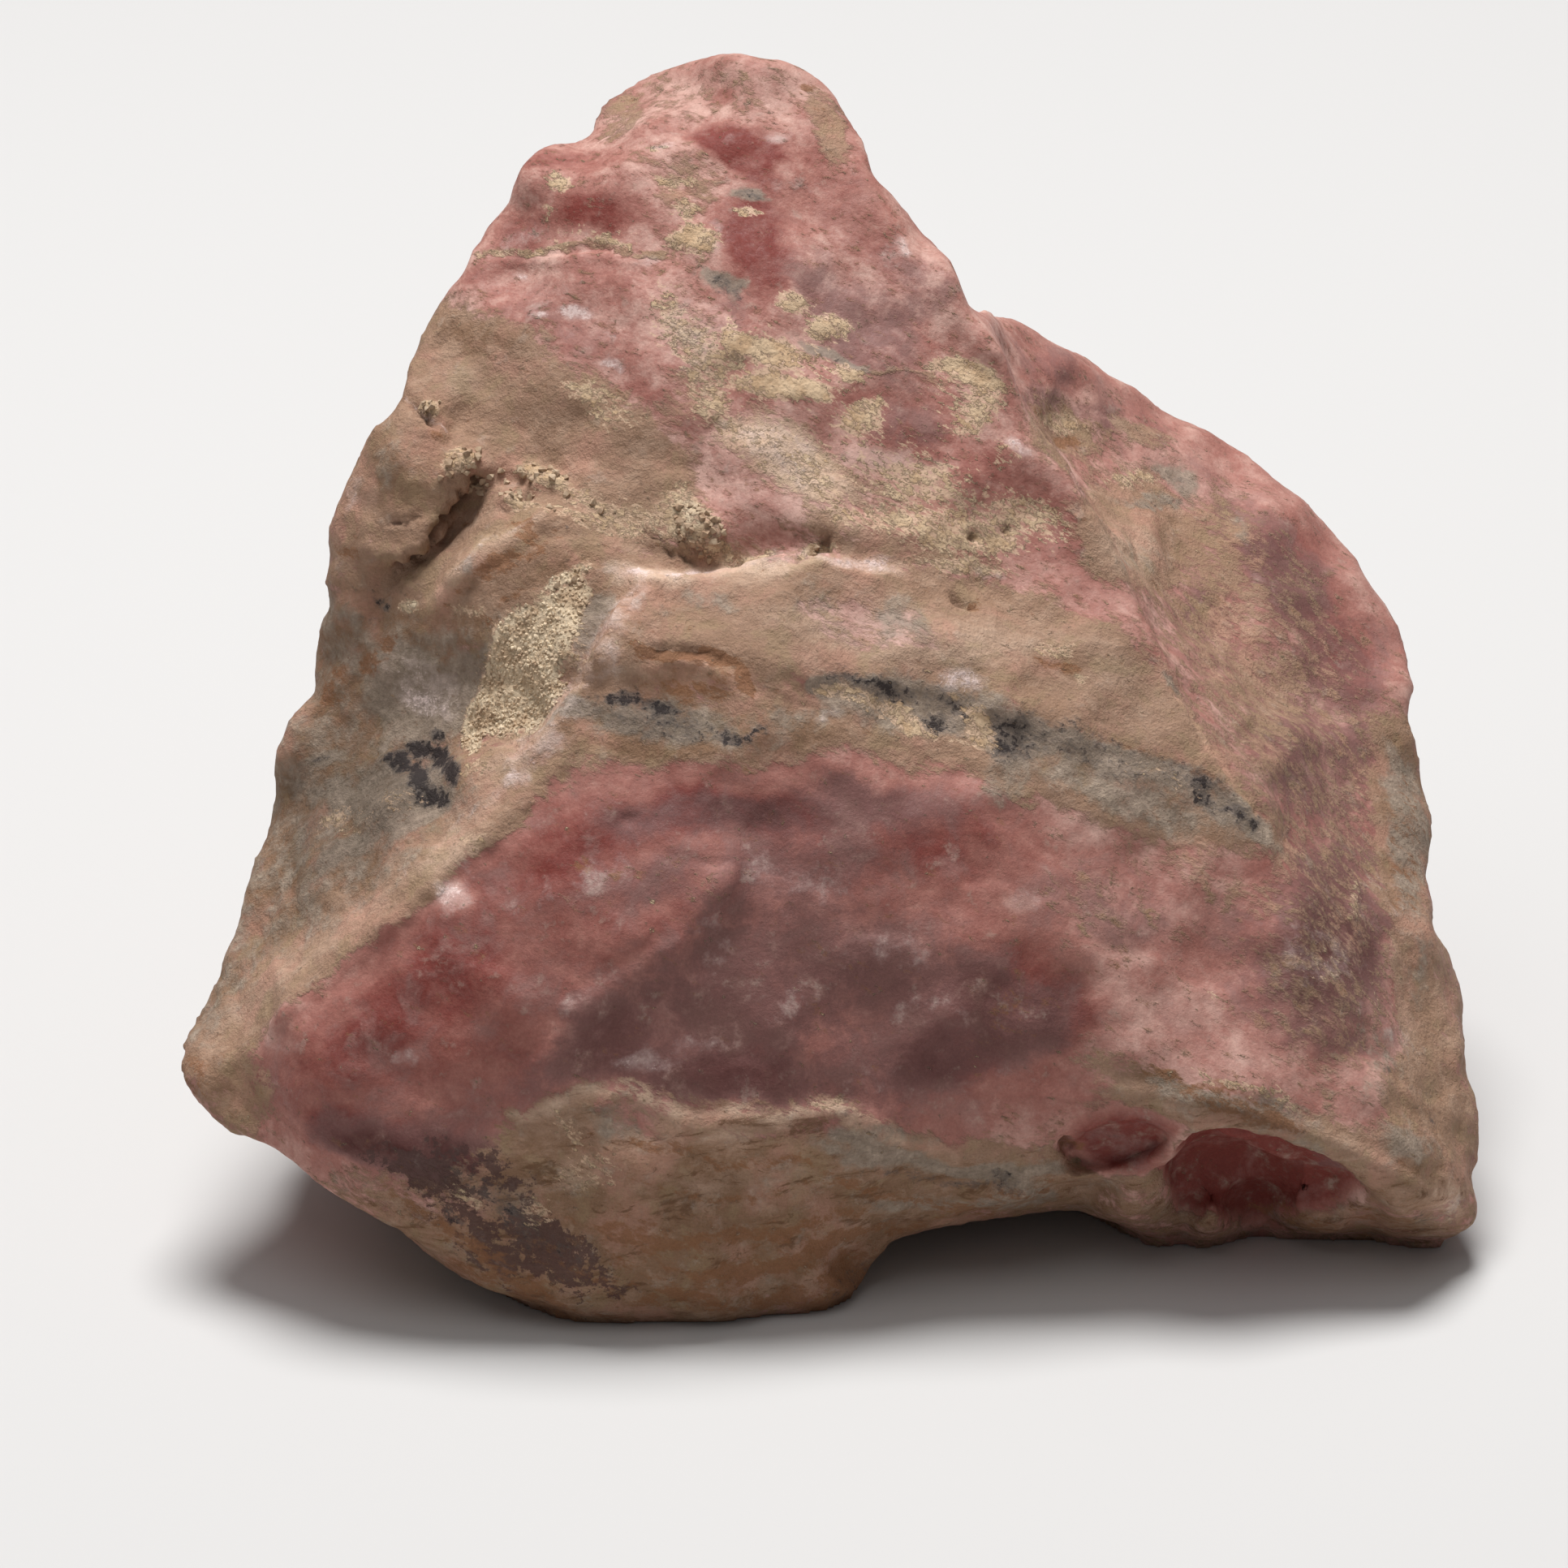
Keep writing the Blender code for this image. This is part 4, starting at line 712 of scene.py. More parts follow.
ribs = [  # raised lines: corners, half width, height
    ([(538, 762), (546, 732), (574, 704), (610, 674), (670, 642), (735, 638)], 16, 0.4),
    ([(592, 594), (566, 616), (548, 636), (530, 656), (518, 676), (490, 696)], 16, 0.4),
    ([(786, 650), (826, 680), (846, 690), (864, 704)], 12, 0.3),
    ([(600, 1000), (640, 962), (702, 880), (740, 810), (760, 760), (790, 722)], 15, 0.5),
    ([(756, 704), (804, 708), (838, 716), (871, 713), (905, 703), (938, 694), (1015, 690),
      (1080, 696)], 12, 0.3),
    ([(597, 326), (680, 322), (750, 317), (812, 328)], 8, 0.12),
    ([(1394, 1342), (1500, 1360), (1642, 1406), (1720, 1450), (1800, 1495)], 14, 0.3),
]
steps = [  # the left of each line stands higher, over the reach in pixels
    ([(887, 1037), (903, 1065), (856, 1099), (837, 1152), (744, 1209), (694, 1240), (687, 1277),
      (606, 1352)], 120, 0.3),
    ([(1560, 1030), (1530, 985), (1480, 905), (1430, 835)], 50, 0.5),
    ([(712, 1352), (744, 1402), (737, 1440)], 45, 0.25),
    ([(1106, 1402), (1031, 1356), (950, 1373), (856, 1379), (775, 1337), (719, 1350),
      (637, 1377)], 60, 0.3),
    ([(270, 1320), (400, 1215), (500, 1130), (600, 1040), (690, 950), (760, 868)], 90, 0.3),
    ([(484, 716), (490, 696), (518, 676), (530, 656), (548, 636), (566, 616), (596, 590)], 60, 0.25),
    ([(1110, 706), (1015, 692), (938, 698), (871, 716), (838, 718), (804, 711), (756, 706)], 60, 0.6),
    ([(800, 716), (782, 736), (754, 772), (728, 830), (702, 872)], 75, 0.5),
    ([(925, 870), (915, 835), (880, 812), (830, 804), (785, 812)], 50, 0.35),
]
shaping = {  # how the cuts, ribs and steps run out: shares of their half width, and of their length
    "shake": 7, "shakeSize": 0.8, "shakeOctaves": 3, "shakeShifts": (14.2, 51.6),
    "cutFade": (0.2, 1.3), "cutTaper": 6, "cutLeast": 0.25, "darkestCut": 0.8,
    "pitFade": (0.2, 1.2), "widestDarkPit": 20,
    "hollowDepth": 1.3, "hollowEdge": 18,
    "ribFade": (0.0, 1.4), "ribTaper": 5,
    "stepFade": (0.1, 1), "stepTaper": 8, "stepSlope": 8,
    "facing": (0.05, 0.3),  # no carving where the stone turns away from the camera
}


def taper(share, rate, least=0):  # 1 along a line, running out at its ends
    return np.clip(np.minimum(share, 1 - share) * rate, least, 1)


def cutInto(depth, shaken):  # cuts, pits and the right hollow, and the painted shade, with some dirt, inside them
    crevice = np.zeros(len(points))
    for corners, width, deep in carving.values():
        away, share, _ = alongLine(shaken, corners)
        ends = taper(share, shaping["cutTaper"], shaping["cutLeast"])
        inside = ends * (1 - ease(away / width, *shaping["cutFade"]))
        depth -= deep * inside
        crevice = np.maximum(crevice, np.minimum(deep, shaping["darkestCut"]) * inside)
    for x, y, radius, deep in pits:
        inside = 1 - ease(np.hypot(spots[:, 0] - x, spots[:, 1] - y) / radius, *shaping["pitFade"])
        depth -= deep * inside
        if radius < shaping["widestDarkPit"]:
            crevice = np.maximum(crevice, deep * inside)
    storeField("crevice", crevice * shown)
    depth -= shaping["hollowDepth"] * inArea(warped, outlines["hollowRight"], shaping["hollowEdge"])


def raiseForms(depth):
    for swell in swells:
        depth += swell[5] * inBlob(warped, swell)
    for corners, width, high in ribs:
        away, share, _ = alongLine(spots, corners)
        depth += high * (1 - ease(away / width, *shaping["ribFade"])) * taper(share, shaping["ribTaper"])


def stepDown(depth, shaken):
    for corners, reach, high in steps:
        away, share, side = alongLine(shaken, corners)
        fade = (1 - ease(away / reach, *shaping["stepFade"])) * taper(share, shaping["stepTaper"])
        depth += high * fade * np.where(side > 0, 0.5, -0.5) * ease(away, 0, shaping["stepSlope"])


def carve():  # in mm
    shake = severalClouds(place, shaping["shakeSize"], shaping["shakeOctaves"], shaping["shakeShifts"])
    shaken = spots + shaping["shake"] * shake
    depth = np.zeros(len(points))
    cutInto(depth, shaken)
    raiseForms(depth)
    stepDown(depth, shaken)
    return depth * ease(facing, *shaping["facing"])


relief = {  # size and height in mm, and the slope between chips in cell widths
    "waves": {"size": 4.0, "height": 0.10, "octaves": 4, "roughness": 0.8, "shift": 3.1},
    "facets": {"size": 4.6, "height": 0.17, "border": 0.07, "shift": 2.2},
    "chips": {"size": 1.8, "height": 0.09, "border": 0.12, "shift": 7.7},
    "smallChips": {"size": 0.8, "height": 0.05, "border": 0.2, "shift": 3.9},
    "crust": {"size": 0.7, "height": 0.07, "octaves": 3, "roughness": 0.6, "shift": 61.0},
    "crustThickness": 0.03,
    "pinkShare": 0.4,  # of the chips' height where the stone is still pink
    "creamLoss": 0.4,  # of the rest where the tan has turned to cream
    "tanEdge": (0.3, 0.7), "creamEdge": (0.5, 0.9), "crustEdge": (0.35, 0.65),  # of their fields
    "lumps": [(505, 595, 120, 130, 0, 1.2), (780, 760, 110, 90, 0, 0.8)],  # where chips stand higher
}
chipShape = {
    "bend": 0.18, "bendSize": 0.9, "bendOctaves": 3, "bendShifts": (1.7, 5.1, 9.3),
    "tilting": 7.31, "rise": 0.3,
}


def cloudy(name):
    form = relief[name]
    return form["height"] * clouds(place, form["size"], form["octaves"], form["roughness"], form["shift"])


def chipped(name):  # flat chips, each tilted its own way, with small steps between them
    form = relief[name]
    shifts = [form["shift"] + shift for shift in chipShape["bendShifts"]]
    bendSize = form["size"] * chipShape["bendSize"]
    bend = severalClouds(place, bendSize, chipShape["bendOctaves"], shifts) * chipShape["bend"]
    height = np.zeros(len(place))
    for i, spot in enumerate(place / form["size"] + form["shift"] + bend):
        point = Vector(spot)
        away, middles = noise.voronoi(point)
        first = noise.cell_vector(middles[0] * chipShape["tilting"])
        second = noise.cell_vector(middles[1] * chipShape["tilting"])
        one = (point - middles[0]).dot(first) + chipShape["rise"] * first.x
        two = (point - middles[1]).dot(second) + chipShape["rise"] * second.x
        t = min((away[1] - away[0]) / form["border"], 1.0)
        height[i] = (one + two) / 2 + (one - two) / 2 * t * t * (3 - 2 * t)
    return form["height"] * height


def reliefHeight():  # in mm, roughest where the stone has turned to tan
    pinkShare = relief["pinkShare"]
    creamed = relief["creamLoss"] * ease(fields["cream"], *relief["creamEdge"])
    tanShare = ease(fields["tan"], *relief["tanEdge"]) * (1 - creamed)
    rough = pinkShare + (1 - pinkShare) * tanShare
    lumpy = 1 + sum(lump[5] * shown * inBlob(spots, lump) for lump in relief["lumps"])
    height = cloudy("waves") + (pinkShare + (1 - pinkShare) * rough) * chipped("facets")
    height += rough * lumpy * chipped("chips") + rough * chipped("smallChips")
    crusted = ease(fields["crust"], *relief["crustEdge"])
    return height + crusted * (relief["crustThickness"] + cloudy("crust"))


leftHollow = {  # a deep hollow in the solid that is shallow in its middle, in pixels and mm
    "soft": 14, "concave": 1.0, "rim": (0.05, 0.5), "rimFacing": 0.3, "fade": (0.2, 0.7), "deepest": 9,
}
foot = {"thickness": 0.0004, "reliefFrom": 0.0015, "facingDown": -0.8}  # in metres


def fillHollow(points, outline):  # brings the hollow's floor up to just under its rim
    where = toDisplay(points)
    inside = inArea(toFrame(points), outline, leftHollow["soft"])
    low, high = leftHollow["rim"]
    rim = (inside > low) & (inside < high) & (facing > leftHollow["rimFacing"])
    rows = np.stack([np.ones(len(points)), where[:, 0], where[:, 1]], 1)
    plane = rows @ np.linalg.lstsq(rows[rim], where[rim, 2], rcond=None)[0]
    level = plane - leftHollow["concave"] * inside
    rise = np.clip(level - where[:, 2], 0, None) * ease(inside, *leftHollow["fade"])
    rise = rise * (where[:, 2] > level - leftHollow["deepest"])
    return points + rise[:, None] * (np.array(outward) * display["millimetre"])


points = fillHollow(points, outlines["hollowLeft"])
writePoints(stone, points)
normals = readNormals(stone)
onFoot = points[:, 2] < foot["thickness"]
aboveTable = np.clip(points[:, 2] / foot["reliefFrom"], 0, 1)
lift = (carve() + reliefHeight() * aboveTable) * 0.001  # mm to metres
points = points + normals * lift[:, None]
points[onFoot, 2] = np.where(normals[onFoot, 2] < foot["facingDown"], 0.0, points[onFoot, 2])
points[:, 2] = np.maximum(points[:, 2], 0)
writePoints(stone, points)
print("relief carved")

paint = {  # sRGB values of the minerals in white light
    "palePink": (206, 166, 153), "rose": (168, 115, 104), "deepRed": (128, 63, 56),
    "mauve": (142, 107, 103), "dusk": (80, 40, 37), "brownTan": (142, 110, 86), "tan": (170, 137, 115),
    "cream": (206, 176, 153), "rosyTan": (190, 142, 124), "oliveTan": (160, 138, 106),
    "brownLine": (108, 76, 54), "mottle": (88, 64, 60), "stain": (142, 98, 68),
    "grey": (152, 137, 122), "greyGreen": (118, 105, 90), "palestGrey": (186, 167, 148),
    "soot": (48, 41, 42), "sootGrey": (96, 88, 84), "crust": (226, 207, 178),
    "crustShade": (190, 165, 136), "ochre": (190, 152, 114), "fleck": (212, 180, 152),
    # The frost paint serves for white frost and painted highlights; the crevice paint is painted shade,
    # with some dirt, inside cracks and pits.
    "frostAndGlints": (228, 206, 200), "crevice": (58, 40, 32),
}


def linear(name):  # sRGB to the renderer's linear light
    steps = [value / 255 for value in paint[name]]
    return tuple(v / 12.92 if v < 0.0405 else ((v + 0.055) / 1.055) ** 2.4 for v in steps) + (1.0,)


def feed(tree, made, values):
    for socket, value in (values or {}).items():
        if isinstance(value, bpy.types.NodeSocket):
            tree.links.new(value, made.inputs[socket])
        else:
            made.inputs[socket].default_value = value


def addNode(tree, kind, values=None, **settings):
    made = tree.nodes.new(kind)
    for name, value in settings.items():
        setattr(made, name, value)
    feed(tree, made, values)
    return made


def maths(tree, operation, a, b):
    return addNode(tree, "ShaderNodeMath", {0: a, 1: b}, operation=operation).outputs[0]


def plus(tree, a, b):
    return maths(tree, "ADD", a, b)


def minus(tree, a, b):
    return maths(tree, "SUBTRACT", a, b)


def times(tree, a, b):
    return maths(tree, "MULTIPLY", a, b)


def centred(tree, value, amount):  # noise round nought
    return times(tree, minus(tree, value, 0.5), amount)


def spread(tree, value, low, high, newLow=0.0, newHigh=1.0):
    made = addNode(tree, "ShaderNodeMapRange", {0: value, 1: low, 2: high, 3: newLow, 4: newHigh})
    return made.outputs[0]


def mixColour(tree, mask, a, b):
    return addNode(tree, "ShaderNodeMix", {0: mask, 6: a, 7: b}, data_type="RGBA").outputs[2]


def threeTones(tree, value, dark, middle, light, at):
    ramp = addNode(tree, "ShaderNodeValToRGB", {0: value})
    ramp.color_ramp.elements[0].color = linear(dark)
    ramp.color_ramp.elements[1].color = linear(light)
    ramp.color_ramp.elements.new(at).color = linear(middle)
    return ramp.outputs[0]


def fractal(tree, position, size, detail, rough, distortion=0.0, reach=0.17):  # spread over 0 to 1
    made = addNode(tree, "ShaderNodeTexNoise", {
        "Vector": position, "Scale": 1.0 / size, "Detail": detail, "Roughness": rough,
        "Distortion": distortion})
    return spread(tree, made.outputs["Fac"], 0.5 - reach, 0.5 + reach)


def alongGrain(tree, position, angle, stretch):  # drawn out along a line in the display plane
    a = math.radians(angle)
    across = (1, 0, 0)
    line = [math.cos(a) * x - math.sin(a) * u for x, u in zip(across, upward)]
    side = [math.sin(a) * x + math.cos(a) * u for x, u in zip(across, upward)]
    parts = []
    for direction, factor in ((line, 1 / stretch), (side, 1), (outward, 1)):
        scaled = tuple(part * factor for part in direction)
        dot = addNode(tree, "ShaderNodeVectorMath", {0: position, 1: scaled}, operation="DOT_PRODUCT")
        parts.append(dot.outputs["Value"])
    return addNode(tree, "ShaderNodeCombineXYZ", dict(enumerate(parts))).outputs[0]


def newGroup(name, inputs, outputs):
    tree = bpy.data.node_groups.new(name, "ShaderNodeTree")
    for socketName, kind in inputs.items():
        tree.interface.new_socket(socketName, in_out="INPUT", socket_type=kind)
    for socketName, kind in outputs.items():
        tree.interface.new_socket(socketName, in_out="OUTPUT", socket_type=kind)
    return tree, tree.nodes.new("NodeGroupInput").outputs, tree.nodes.new("NodeGroupOutput")


def patchEdgeGroup():  # turns a soft field into a ragged-edged patch
    names = ("Field", "Noise", "Raggedness", "Softness")
    tree, given, result = newGroup(
        "patchEdge", {name: "NodeSocketFloat" for name in names}, {"Mask": "NodeSocketFloat"})
    offset = times(tree, minus(tree, given["Noise"], 0.5), given["Raggedness"])
    ragged = plus(tree, offset, given["Field"])
    low = minus(tree, 0.5, given["Softness"])
    high = plus(tree, 0.5, given["Softness"])
    edge = addNode(tree, "ShaderNodeMapRange", {
        0: ragged, 1: low, 2: high}, interpolation_type="SMOOTHSTEP")
    tree.links.new(edge.outputs[0], result.inputs["Mask"])
    return tree


def millimetreGroup():  # the object's own coordinates, from metres to mm
    tree, _, result = newGroup("millimetres", {}, {"Position": "NodeSocketVector"})
    own = tree.nodes.new("ShaderNodeTexCoord").outputs["Object"]
    scaled = addNode(tree, "ShaderNodeVectorMath", {0: own, 1: (1000, 1000, 1000)}, operation="MULTIPLY")
    tree.links.new(scaled.outputs[0], result.inputs["Position"])
    return tree


crustLook = {  # the granular crust's look, sizes in mm
    "grainScale": 4.2, "cloud": {"size": 1.1, "detail": 5, "rough": 0.65}, "shading": (0.2, 0.75),
}


def crustGroup():  # colour and height of the granular crust
    tree, given, result = newGroup(
        "crustGrain", {"Position": "NodeSocketVector"},
        {"Colour": "NodeSocketColor", "Height": "NodeSocketFloat"})
    cells = addNode(tree, "ShaderNodeTexVoronoi", {
        "Vector": given["Position"], "Scale": crustLook["grainScale"], "Randomness": 1.0})
    cloud = fractal(tree, given["Position"], **crustLook["cloud"])
    shade = spread(tree, cloud, *crustLook["shading"])
    colour = mixColour(tree, shade, linear("crustShade"), linear("crust"))
    height = plus(tree, minus(tree, 1.0, cells.outputs["Distance"]), cloud)
    tree.links.new(colour, result.inputs["Colour"])
    tree.links.new(height, result.inputs["Height"])
    return tree


groups = {"patchEdge": patchEdgeGroup(), "millimetres": millimetreGroup(), "crustGrain": crustGroup()}


def useGroup(tree, name, values=None):
    made = tree.nodes.new("ShaderNodeGroup")
    made.node_tree = groups[name]
    feed(tree, made, values)
    return made.outputs


patterns = {  # noise in mm; those with an angle are drawn out along it
    "broad": {"size": 3.4, "detail": 5, "rough": 0.62},
    "middle": {"size": 1.2, "detail": 6, "rough": 0.68},
    "fine": {"size": 0.42, "detail": 5, "rough": 0.72, "reach": 0.15},
    "speck": {"size": 0.14, "detail": 3, "rough": 0.7},
    "drift": {"size": 2.1, "detail": 6, "rough": 0.66, "distortion": 0.4, "reach": 0.15},
    "streaks": {"size": 0.7, "detail": 6, "rough": 0.7, "distortion": 0.2, "reach": 0.15},
    "threads": {"size": 0.22, "detail": 5, "rough": 0.7, "reach": 0.15},
    "bands": {"size": 0.8, "detail": 6, "rough": 0.72, "distortion": 0.6, "reach": 0.15},
}
drawnOut = {"streaks": (24, 1.7), "threads": (30, 2.6), "bands": (-6, 4.0)}  # angle, how far
blends = {
    "flecks": {"streaks": 0.65, "threads": 0.35},
    "crumbly": {"streaks": 0.3, "threads": 0.35, "fine": 0.35},
    "blotches": {"middle": 0.5, "fine": 0.5},
    "sparkle": {"fine": 0.6, "speck": 0.4},
}
pink = {  # from pale to deep red, dulled to mauve and dusk in clouds
    "sway": {"broad": 0.3, "middle": 0.3, "drift": 0.25}, "streaks": 0.4, "roseAt": 0.45,
    "duskSway": {"drift": 0.5}, "duskCover": (0.4, 1.3, 0.0, 0.9),
    "paleDrift": (0.5, 1.0, 0.0, 0.45), "paleMiddle": (0.5, 1.0, 0.3, 1.0),
}
tan = {  # tints are paint, pattern, and the pattern's range with the cover at its ends
    "sway": {"middle": 0.18, "fine": 0.08, "streaks": 0.14}, "bands": 0.6, "tanAt": 0.5,
    "tints": [("rosyTan", "broad", (0.5, 0.85, 0.0, 0.5)), ("oliveTan", "drift", (0.6, 0.9, 0.0, 0.4)),
              ("cream", "drift", (0.35, 0.1, 0.0, 0.22))],
    "brownLines": (0.3, 0.1, 0.0, 0.75),
}
mauveCoat = {"field": "dusk", "pattern": "drift", "ragged": 0.5, "soft": 0.35, "cover": 0.75}
coats = {  # laid over the pink in this order
    "tan": {"field": "tan", "pattern": "flecks", "ragged": 1.0, "soft": 0.24, "cover": 1.0},
    "grey": {"field": "grey", "pattern": "middle", "ragged": 0.8, "soft": 0.35, "cover": 0.85},
    "mottle": {"field": "mottle", "pattern": "blotches", "ragged": 2.0, "soft": 0.14, "cover": 0.85},
    "stain": {"field": "stain", "pattern": "flecks", "ragged": 1.4, "soft": 0.25, "cover": 0.75},
    "sootGrey": {"field": "soot", "pattern": "crumbly", "ragged": 1.6, "soft": 0.4, "cover": 0.75},
    "soot": {"field": "soot", "offset": -0.46, "pattern": "fine", "ragged": 1.5, "soft": 0.22,
             "cover": 0.85},
    "film": {"field": "crust", "gain": 1.8, "offset": 0.08, "pattern": "flecks", "ragged": 1.0,
             "soft": 0.5, "cover": 0.32, "paint": "fleck"},
    "fleck": {"field": "crust", "gain": 1.8, "offset": 0.08, "pattern": "threads", "ragged": 1.9,
              "soft": 0.14, "cover": 0.85},
    "crust": {"field": "crust", "pattern": "crumbly", "ragged": 2.6, "soft": 0.14, "cover": 0.9},
    # the veil and frost coats lay white frost, and in places painted highlights and glints
    "veil": {"field": "frostAndGlints", "offset": 0.22, "pattern": "middle", "ragged": 0.9, "soft": 0.45,
             "cover": 0.35, "paint": "frostAndGlints"},
    "frostAndGlints": {"field": "frostAndGlints", "offset": -0.12, "pattern": "sparkle", "ragged": 1.1, "soft": 0.25,
              "cover": 0.7},
}
greyAt = 0.55
ochreShare = (0.0, 0.4, 0.5, 0.1)  # how much ochre the crust has, from thin to granular
finish = {
    "creviceShadeAndDirt": (0.1, 1.0), "speckle": (0.1, 0.9, 0.92, 1.07),
    "gloss": (0.1, 0.9, 0.42, 0.72), "crustRoughness": 0.95, "tanRoughness": 0.68, "specular": 0.16,
    "bump": {"fine": 0.9, "speck": 0.25, "middle": 1.5}, "bumpDepth": 0.00012,
    "pinkBump": 0.15, "tanBump": 0.28, "crustRise": 0.3, "crustBump": 0.3,
}


def field(tree, name):
    return addNode(tree, "ShaderNodeAttribute", attribute_name=name).outputs["Fac"]


def summed(tree, laid, shares):
    total = 0.0
    for name, share in shares.items():
        total = plus(tree, total, times(tree, laid[name], share))
    return total


def layPatterns(tree, position):
    laid = {}
    for name, values in patterns.items():
        along = alongGrain(tree, position, *drawnOut[name]) if name in drawnOut else position
        laid[name] = fractal(tree, along, **values)
    for name, shares in blends.items():
        laid[name] = summed(tree, laid, shares)
    return laid


def swayed(tree, value, laid, amounts):  # a field pushed to and fro by patterns
    for name, amount in amounts.items():
        value = plus(tree, value, centred(tree, laid[name], amount))
    return value


def coatMask(tree, laid, coat):
    amount = field(tree, coat["field"])
    if "gain" in coat:
        amount = times(tree, amount, coat["gain"])
    if "offset" in coat:
        amount = plus(tree, amount, coat["offset"])
    return useGroup(tree, "patchEdge", {
        "Field": amount, "Noise": laid[coat["pattern"]], "Raggedness": coat["ragged"],
        "Softness": coat["soft"]})["Mask"]


def pinkColour(tree, laid):
    red = swayed(tree, field(tree, "rich"), laid, pink["sway"])
    streaks = times(tree, centred(tree, laid["streaks"], pink["streaks"]), field(tree, "grain"))
    red = spread(tree, plus(tree, red, streaks), 0.0, 1.0)
    colour = threeTones(tree, red, "palePink", "rose", "deepRed", pink["roseAt"])
    mauve = times(tree, coatMask(tree, laid, mauveCoat), mauveCoat["cover"])
    colour = mixColour(tree, mauve, colour, linear("mauve"))
    dusk = spread(tree, swayed(tree, field(tree, "dusk"), laid, pink["duskSway"]), *pink["duskCover"])
    colour = mixColour(tree, dusk, colour, linear("dusk"))
    drift = spread(tree, laid["drift"], *pink["paleDrift"])
    pale = times(tree, drift, spread(tree, laid["middle"], *pink["paleMiddle"]))
    return mixColour(tree, pale, colour, linear("palePink"))


def tanColour(tree, laid):
    banded = field(tree, "banded")
    tone = swayed(tree, field(tree, "cream"), laid, tan["sway"])
    tone = plus(tree, tone, times(tree, centred(tree, laid["bands"], tan["bands"]), banded))
    colour = threeTones(tree, spread(tree, tone, 0.0, 1.0), "brownTan", "tan", "cream", tan["tanAt"])
    for name, pattern, reach in tan["tints"]:
        colour = mixColour(tree, spread(tree, laid[pattern], *reach), colour, linear(name))
    lines = times(tree, spread(tree, laid["bands"], *tan["brownLines"]), banded)
    return mixColour(tree, lines, colour, linear("brownLine"))


def stoneColour(tree, laid, masks, crust):
    thin = spread(tree, field(tree, "granules"), *ochreShare)
    mixed = {  # coats that have more than one paint
        "tan": tanColour(tree, laid),
        "grey": threeTones(tree, laid["blotches"], "greyGreen", "grey", "palestGrey", greyAt),
        "crust": mixColour(tree, thin, crust["Colour"], linear("ochre")),
    }
    colour = pinkColour(tree, laid)
    for name, coat in coats.items():
        over = mixed[name] if name in mixed else linear(coat.get("paint", name))
        colour = mixColour(tree, times(tree, masks[name], coat["cover"]), colour, over)
    # painted shade, with some dirt, inside the cracks and pits
    creviceShadeAndDirt = spread(tree, field(tree, "crevice"), *finish["creviceShadeAndDirt"])
    colour = mixColour(tree, creviceShadeAndDirt, colour, linear("crevice"))
    # the speckle is random; the tone field is painted light and shade
    tone = times(tree, spread(tree, laid["speck"], *finish["speckle"]), field(tree, "tone"))
    return addNode(tree, "ShaderNodeVectorMath", {0: colour, 3: tone}, operation="SCALE").outputs[0]


def stoneRoughness(tree, laid, masks):
    gloss = spread(tree, laid["fine"], *finish["gloss"])
    powdery = times(tree, masks["crust"], finish["crustRoughness"])
    chalky = times(tree, masks["tan"], finish["tanRoughness"])
    return maths(tree, "MAXIMUM", maths(tree, "MAXIMUM", gloss, powdery), chalky)


def stoneBump(tree, laid, masks, crust):
    strength = plus(tree, finish["pinkBump"], times(tree, masks["tan"], finish["tanBump"]))
    height = times(tree, summed(tree, laid, finish["bump"]), strength)
    grainy = plus(tree, finish["crustRise"], times(tree, crust["Height"], finish["crustBump"]))
    height = plus(tree, height, times(tree, masks["crust"], grainy))
    bump = addNode(tree, "ShaderNodeBump", {
        "Strength": 1.0, "Distance": finish["bumpDepth"], "Height": height})
    return bump.outputs[0]


def stoneMaterial():
    material = bpy.data.materials.new("rhodochrositeStone")
    material.use_nodes = True
    tree = material.node_tree
    position = useGroup(tree, "millimetres")["Position"]
    crust = useGroup(tree, "crustGrain", {"Position": position})
    laid = layPatterns(tree, position)
    masks = {name: coatMask(tree, laid, coat) for name, coat in coats.items()}
    feed(tree, tree.nodes["Principled BSDF"], {
        "Base Color": stoneColour(tree, laid, masks, crust),
        "Roughness": stoneRoughness(tree, laid, masks),
        "Specular IOR Level": finish["specular"],
        "Normal": stoneBump(tree, laid, masks, crust)})
    return material


stone.materials.clear()
stone.materials.append(stoneMaterial())
stone.shade_smooth()
stoneObject = holdMesh(stone, "rhodochrosite")
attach(stoneObject, "root")
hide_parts("rhodochrosite_stone")
print("stone finished")

grains = {  # loose bits, sizes in metres; more of them where the field is high
    "crustGrains": {"field": "granules", "from": 0.4, "to": 0.9, "perSquareMillimetre": 26.0,
                    "smallest": 0.00004, "largest": 0.00013, "seed": 7, "brown": 0.0},
    "looseCrumbs": {"field": "crumbs", "from": 0.15, "to": 0.9, "perSquareMillimetre": 8.0,
                    "smallest": 0.00008, "largest": 0.00026, "seed": 19, "brown": 0.45},
}
grainShape = {"dentScale": 1.1, "dents": 2.4, "turn": (6.28, 6.28, 6.28), "roughness": 0.9}
grainShade = {"cloud": {"size": 0.9, "detail": 3, "rough": 0.6}, "range": (0.2, 1.0), "more": 0.35}


def grainMaterial(name, brown):
    material = bpy.data.materials.new(name)
    material.use_nodes = True
    tree = material.node_tree
    position = useGroup(tree, "millimetres")["Position"]
    crust = useGroup(tree, "crustGrain", {"Position": position})
    cloud = fractal(tree, position, **grainShade["cloud"])
    shade = spread(tree, cloud, *grainShade["range"], brown, brown + grainShade["more"])
    feed(tree, tree.nodes["Principled BSDF"], {
        "Base Color": mixColour(tree, shade, crust["Colour"], linear("brownTan")),
        "Roughness": grainShape["roughness"]})
    return material


